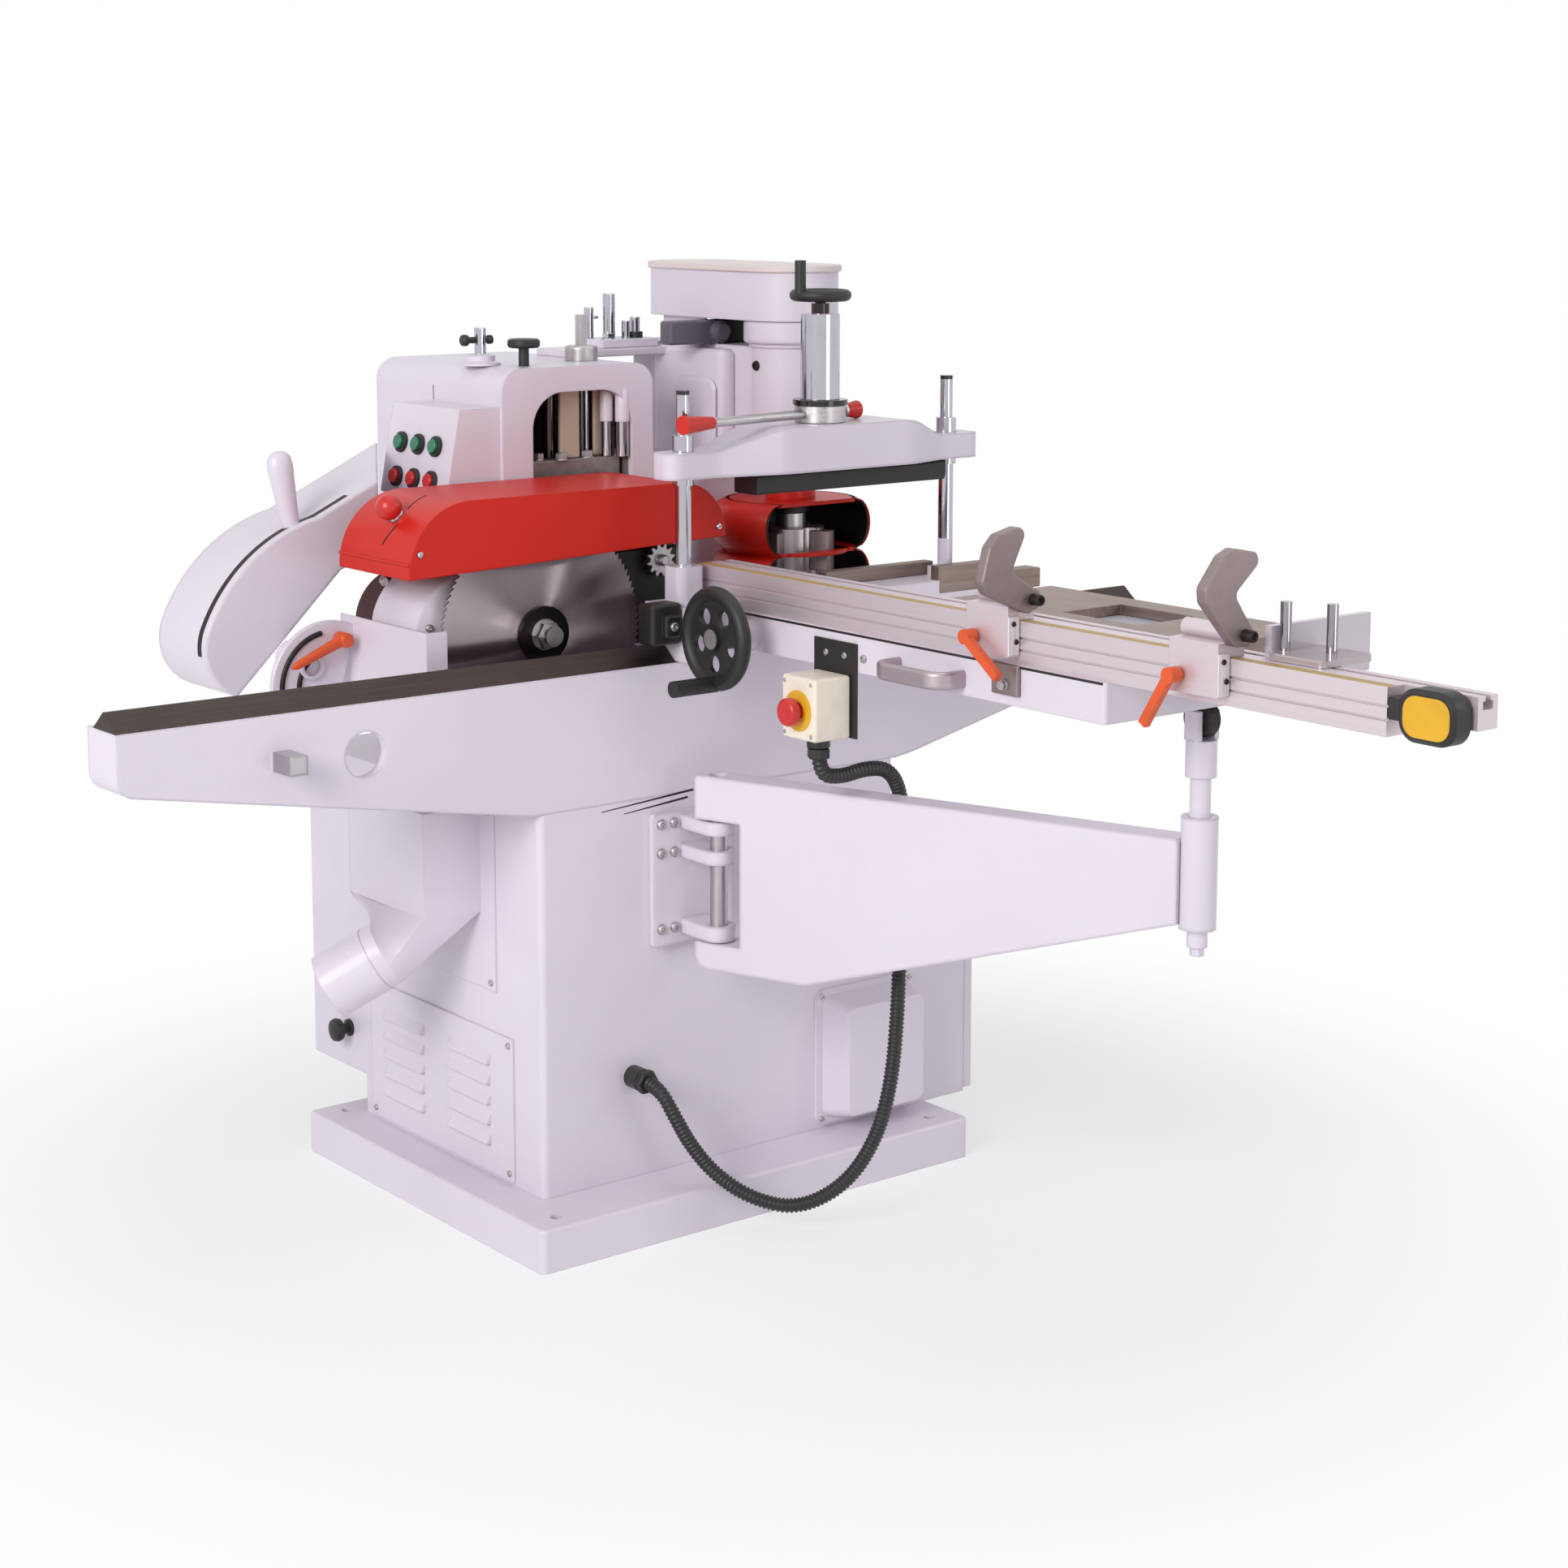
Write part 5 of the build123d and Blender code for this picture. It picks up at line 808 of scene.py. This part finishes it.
def hood_slot(turns, sides):
    """A dark slanted line on the hood's round end, between two angles and two places across it."""
    turn = np.radians(np.linspace(*turns, 16))
    outward = np.stack([np.cos(turn), np.zeros(16), np.sin(turn)], 1)
    path = outward * (HOOD_END_R + 0.1) + np.array([HOOD_END[0], 0, HOOD_END[1]])
    path[:, 1] = np.linspace(*sides, 16)
    return strip(path, outward, (0, 1, 0), 3.0, 0.5)


hood_slots = [hood_slot((97, 122), (-50, -68)), hood_slot((139, 158), (-78, -64))]
flap_fold = tube(np.linspace((-491.4, -149, 1005), (-491.4, 45, 1005), 2) * MM, 2.2 * MM, 12, (1, 0, 0))
piece("hood_fold", flap_fold, red_enamel, "machine")
piece("hood_slots", joined(hood_slots), dark_steel, "machine")
knob_way = (math.cos(KNOB_TURN), 0, math.sin(KNOB_TURN))
knob_foot = (HOOD_END[0] + HOOD_END_R * knob_way[0], -62, HOOD_END[1] + HOOD_END_R * knob_way[2])
hood_steel = [collar(5.6, 12, 6, knob_foot, knob_way)]
hood_steel += [pan_screw((-474, -150, 1020), FRONT, 5), pan_screw((52, -150, 1020), FRONT, 5)]
piece("hood_fixings", joined(hood_steel), hard_chrome, "machine")
pinion_turn = np.linspace(0, 2 * np.pi, 48, endpoint=False)
pinion_reach = np.tile([20, 26, 26, 20], 12)
pinion_edge = pinion_reach[:, None] * np.stack([np.cos(pinion_turn), np.sin(pinion_turn)], 1)
pinion = [slab(pinion_edge, (-4, -66, 966), FRONT, (1, 0, 0), 14, 1)]
pinion += [lathe([(9, 0), (9, 24), (6, 26)], (-4, -64, 966), FRONT, 20)]
piece("hood_pinion", joined(pinion), bright_steel, "machine")


# Fittings on the coping head

arm_near = [brick((142, 94, 1279), (238, 126, 1317), 3)]
arm_near += [lathe([(18, 0), (18, 6), (13, 8), (13, 14)], (238, 94, 1298), FRONT)]
piece("coping_arm", joined(arm_near), slate_enamel, "machine")
piece("coping_arm_end", brick((238.5, 98, 1279), (330, 126, 1317), 3), black_bar, "machine")


def stadium(radius, back, count=28):
    """Two half circles joined by straight runs, one about the origin and one about a point behind it."""
    turn = np.linspace(np.pi, 2 * np.pi, count)
    near = radius * np.stack([np.cos(turn), np.sin(turn)], 1)
    return np.concatenate([near, np.array([0, back]) - near])


cover_lid = slab(stadium(81, 250), (295, -20, 1396), UP, (1, 0, 0), 11, 2)
piece("cover_lid", cover_lid, lid_enamel, "machine")
coping_castings = [lathe([(72, 0), (75, 3), (75, 32), (73, 35)], (295, -20, 1284), UP, 72)]
coping_castings += [brick((206, 46, 1094), (240, 236, 1272), 7)]
coping_castings += [slab(rounded(104, 130, 18, 8), (207, 108, 1160), LEFT, (0, 1, 0), 8, 3.5)]
piece("coping_castings", joined(coping_castings), cast_enamel, "machine")
coping_seams = [strip([(239.2, 45.8, 1120), (239.2, 45.8, 1254)], [FRONT] * 2, (1, 0, 0), 2.6, 0.6)]
coping_seams += [pan_screw((231.4, -14, 1249), LEFT, 8)]
piece("coping_seams", joined(coping_seams), dark_steel, "machine")
COPE_AT, KNIFE_REACH, KNIFE_Z = (295, -20), (38, 72), (922, 986)
LOBES_Z, LOBE_TALL, LOBE_R, LOBE_SWELL, GUARD_FRONT = (872, 954), 82, 104, 25, 72


def cut_ring(reach, turn):
    """Points at a reach round the spindle; turn 0 faces the front, where the guard is cut off flat."""
    flat = np.stack([np.sin(turn), -np.cos(turn)], -1) * np.asarray(reach)[..., None]
    return flat + np.array(COPE_AT)


def lobed_wall(inset, thick):
    """The guard's wall: two bulged lobes, each ring open between the angles where it meets the flat front."""
    share = np.linspace(-1, 1, 15)
    height = np.concatenate([low + LOBE_TALL * (share + 1) / 2 for low in LOBES_Z])
    reach = LOBE_R + LOBE_SWELL * np.tile(np.sqrt(1 - share ** 2), 2) - inset
    start = np.arccos(GUARD_FRONT / reach)[:, None]
    turn = start + np.linspace(0, 1, 72) * (2 * np.pi - 2 * start)
    outer = cut_ring(np.broadcast_to(reach[:, None], turn.shape), turn)
    inner = cut_ring(np.broadcast_to(reach[:, None] - thick, turn.shape), turn)
    flat = np.concatenate([outer, inner[:, ::-1]], 1)
    upright = np.broadcast_to(height[:, None, None], (*flat.shape[:2], 1))
    return skin(np.concatenate([flat, upright], 2) * MM)


def lobed_lid(low, thick, bore, reach=LOBE_R):
    """A lid of the guard: a washer whose rim follows the circle and then the flat front."""
    turn = np.linspace(0, 2 * np.pi, 96, endpoint=False)
    rim = np.minimum(reach, GUARD_FRONT / np.maximum(np.cos(turn), 0.05))
    rings = [cut_ring(np.broadcast_to(out, 96), turn) for out in (bore, rim, rim, bore)]
    levels = np.array([low, low, low + thick, low + thick])
    upright = np.broadcast_to(levels[:, None, None], (4, 96, 1))
    return skin(np.concatenate([np.array(rings), upright], 2) * MM, closed=True)


def knife_block(turn):
    """A block that stands out of the cutter head at an angle."""
    way = np.array([math.cos(turn), math.sin(turn), 0])
    middle = np.array([*COPE_AT, KNIFE_Z[0]]) + way * sum(KNIFE_REACH) / 2
    outline = rounded(KNIFE_REACH[1] - KNIFE_REACH[0], 26, 3)
    return slab(outline, middle, UP, way, KNIFE_Z[1] - KNIFE_Z[0], 1.5)


guard_rims = [lobed_lid(1030, 6, 34), lobed_lid(951, 6, 94), lobed_lid(872, 5, 94)]
shell = piece("coping_shell", joined([lobed_wall(0, 3)] + guard_rims), red_enamel, "machine", 50)
collar_wall = collar(34, 40, 58, (*COPE_AT, 1034), UP, 48)
piece("coping_shell_neck", collar_wall, red_enamel, "machine")
# painted shade: a black wall just inside the red guard darkens its hollow
piece("coping_shade_wall", lobed_wall(3.2, 2), black_bar, "machine", 50)
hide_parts("coping_guard")
knives = [knife_block(turn) for turn in (3.6, 5.17)]
piece("coping_knives", joined(knives), cast_aluminium, "coping_spindle")
knives = [knife_block(turn) for turn in (0.46, 2.03)] + [collar(15.4, 30, 14, (*COPE_AT, 1014), UP)]
piece("coping_chip_breakers", joined(knives), dark_steel, "coping_spindle")


# Fittings on the carriage

SCALE = tint(196, 160, 84)
scale = moulded("scale_yellow", SCALE, 0.4)
ticks = scale.axes()[1].wave(0.005).step(0.86, 0.95)
scale.vary(Base_Color=scale.mix(ticks * 0.7, SCALE, tint(70, 56, 20)))
scale_strip = brick((-29.6, -1512, 976.8), (-14, -206, 977.3), 0.12)
piece("scale_strip", scale_strip, scale, "carriage")
tape_edge = rounded(82, 62, 24, 9)
tape_case = slab(tape_edge, (-0.5, -1571, 950), LEFT, (0, 1, 0), 34, 5)
tape_clip = brick((-30, -1531, 940), (-6, -1513.4, 966), 1.5)
piece("tape_case", joined([tape_case, tape_clip]), black_plastic, "carriage")
tape_face = slab(rounded(66, 48, 18, 9), (-34, -1573, 950), LEFT, (0, 1, 0), 2.6, 1)
piece("tape_face", tape_face, yellow_plastic, "carriage")
beam_plate = brick((-43, -917, 879), (-36.1, -867, 920), 0.8)
piece("beam_bracket", beam_plate, cast_aluminium, "carriage")
beam_line = brick((-37.2, -1066, 915.6), (-35.6, -264, 918.8), 0.3)
wiper = [brick((-146, -252, 868), (-91, -214, 928), 3), brick((-128, -262, 880), (-100, -251, 912), 2)]
piece("rail_wiper", joined(wiper + [beam_line]), black_bar, "carriage")
plate_screws = [pan_screw((-39, y, 886), LEFT, 5) for y in (-562, -522)]
plate_screws += [pan_screw((-104, y, z), LEFT, 3) for y in (-568, -510) for z in (779, 852)]
plate_screws += [hex_bolt((-43, -892, 892), LEFT, 12, 6), pan_screw((-114, -262, 896), FRONT, 7)]
plate_screws += [pan_screw((-36, -600, 886), LEFT, 6)]
piece("carriage_screws", joined(plate_screws), bright_steel, "carriage")
estop_disc = collar(12.6, 29, 1.6, (-104, -539, 812), LEFT, 48)
piece("estop_disc", estop_disc, yellow_plastic, "carriage")
window_pan = brick((67, -1023, 959.4), (175, -885, 963), 0.6)
piece("window_pan", window_pan, slip_steel, "carriage")
fence_bars = [brick((224, -200, 919.2), (443, -178, 940), 1.2)]
fence_bars += [brick((400, -263, 898), (540, -241, 941), 1.5)]
fence_bars += [brick((500.2, -240, 886), (640, -205, 917), 1.5)]
piece("fence_bars", joined(fence_bars), fence_steel, "carriage")
SCREW_HEAD = ((7.6, 0), (7.6, 13), (6.8, 15), (4.2, 15), (3.8, 12.4), (0, 12.4))
for number, front in ((1, -905), (2, -1272)):
    end_plate = brick((-50.6, front - 2.6, 932), (-31, front - 0.1, 984), 0.6)
    piece(f"stop_plate_{number}", end_plate, plate_aluminium, f"stop_{number}")
    stop_screws = [lathe(SCREW_HEAD, (-20, front - 15.4, 1006), FRONT, 24)]
    stop_screws += [pan_screw((x, front - 2.6, z), FRONT, 3.6) for x, z in ((-42, 974), (-37, 950))]
    piece(f"stop_screws_{number}", joined(stop_screws), dark_steel, f"stop_{number}")
hose_nut = slab(hexagon(29), (-72, -545, 742), UP, (1, 0, 0), 15, 1.5)
piece("hose_nut", hose_nut, black_plastic, "carriage")
gland_nut = slab(hexagon(32), (-174, -262, 222), FRONT, (1, 0, 0), 14, 1.5)
piece("gland_nut", gland_nut, black_plastic, "machine")


# Stage: pale floor, soft light, camera at the photograph's place

def studio():
    """A pale floor that fades to white away from the machine, and a bright plain world."""
    floor_mesh = bpy.data.meshes.new("floor")
    reach = 14.0
    corners = [(-reach, -reach, 0), (reach, -reach, 0), (reach, reach, 0), (-reach, reach, 0)]
    floor_mesh.from_pydata(corners, [], [(0, 1, 2, 3)])
    floor = bpy.data.objects.new("floor", floor_mesh)
    bpy.context.scene.collection.objects.link(floor)
    paint = Finish("floor_paint", Base_Color=(0.9, 0.9, 0.91, 1), Roughness=0.8)
    far = paint.reach((0, -0.2, 0), 2).step(0.7, 1.7)
    rays = paint.node("LightPath")
    kinds = [Number(paint, rays.outputs[f"Is {kind} Ray"]) for kind in ("Camera", "Glossy", "Transmission")]
    glow = paint.node("Emission", None, {"Color": (1, 1, 1, 1), "Strength": 1.0})
    share = sum(kinds) * (0.55 + 0.45 * far)
    blend = paint.node("MixShader", None, {0: share, 1: paint.shader.outputs[0], 2: glow.outputs[0]})
    paint.tree.links.new(blend.outputs[0], paint.tree.nodes["Material Output"].inputs["Surface"])
    floor_mesh.materials.append(paint.material)

    world = bpy.data.worlds.new("studio")
    bpy.context.scene.world = world
    world.use_nodes = True
    tree = world.node_tree
    path = tree.nodes.new("ShaderNodeLightPath")
    dim, white = tree.nodes["Background"], tree.nodes.new("ShaderNodeBackground")
    dim.inputs["Color"].default_value = (0.95, 0.96, 1.0, 1)
    dim.inputs["Strength"].default_value = 0.42
    white.inputs["Color"].default_value = (1, 1, 1, 1)
    white.inputs["Strength"].default_value = 1.0
    mixed = tree.nodes.new("ShaderNodeMixShader")
    seen = path.outputs["Is Camera Ray"]
    for kind in ("Is Glossy Ray", "Is Transmission Ray"):
        either = tree.nodes.new("ShaderNodeMath")
        either.operation = "MAXIMUM"
        tree.links.new(seen, either.inputs[0])
        tree.links.new(path.outputs[kind], either.inputs[1])
        seen = either.outputs[0]
    tree.links.new(seen, mixed.inputs[0])
    tree.links.new(dim.outputs[0], mixed.inputs[1])
    tree.links.new(white.outputs[0], mixed.inputs[2])
    tree.links.new(mixed.outputs[0], tree.nodes["World Output"].inputs["Surface"])


def lamp(name, place, aim, size, power):
    """A square soft lamp that looks at a point."""
    data = bpy.data.lights.new(name, "AREA")
    data.energy, data.size = power, size
    made = bpy.data.objects.new(name, data)
    made.location = place
    made.rotation_euler = (Vector(aim) - Vector(place)).to_track_quat("-Z", "Y").to_euler()
    bpy.context.scene.collection.objects.link(made)


CAMERA_AT, CAMERA_YAW, CAMERA_PITCH = (-2.5413, -3.5848, 1.5551), 0.9075, 0.1480
CAMERA_FOCAL, PHOTO_SIDE, SENSOR = 3519.4, 1932, 36.0
CAMERA_SHIFT = (0.0118, -0.12)


def photographer():
    """The camera: it stands left of the front, looks slightly down, and shifts its frame a little."""
    data = bpy.data.cameras.new("camera")
    data.sensor_width = SENSOR
    data.lens = CAMERA_FOCAL / PHOTO_SIDE * SENSOR
    data.shift_x, data.shift_y = CAMERA_SHIFT
    data.clip_end = 100
    camera = bpy.data.objects.new("camera", data)
    level = math.cos(CAMERA_PITCH)
    look = Vector((math.cos(CAMERA_YAW) * level, math.sin(CAMERA_YAW) * level, -math.sin(CAMERA_PITCH)))
    camera.location = CAMERA_AT
    camera.rotation_euler = look.to_track_quat("-Z", "Y").to_euler()
    bpy.context.scene.collection.objects.link(camera)
    bpy.context.scene.camera = camera


studio()
lamp("key", (-4.6, -2.0, 2.8), (0, -0.3, 0.65), 2.4, 160)
lamp("front", (0.8, -5.2, 0.7), (0, -0.4, 0.7), 1.6, 20)
lamp("top", (0.4, -0.4, 4.4), (0, -0.3, 0.5), 3.0, 22)
lamp("right", (3.4, -3.4, 2.6), (-0.2, -0.2, 0.9), 0.8, 16)
photographer()
bpy.context.scene.view_settings.view_transform = "Standard"
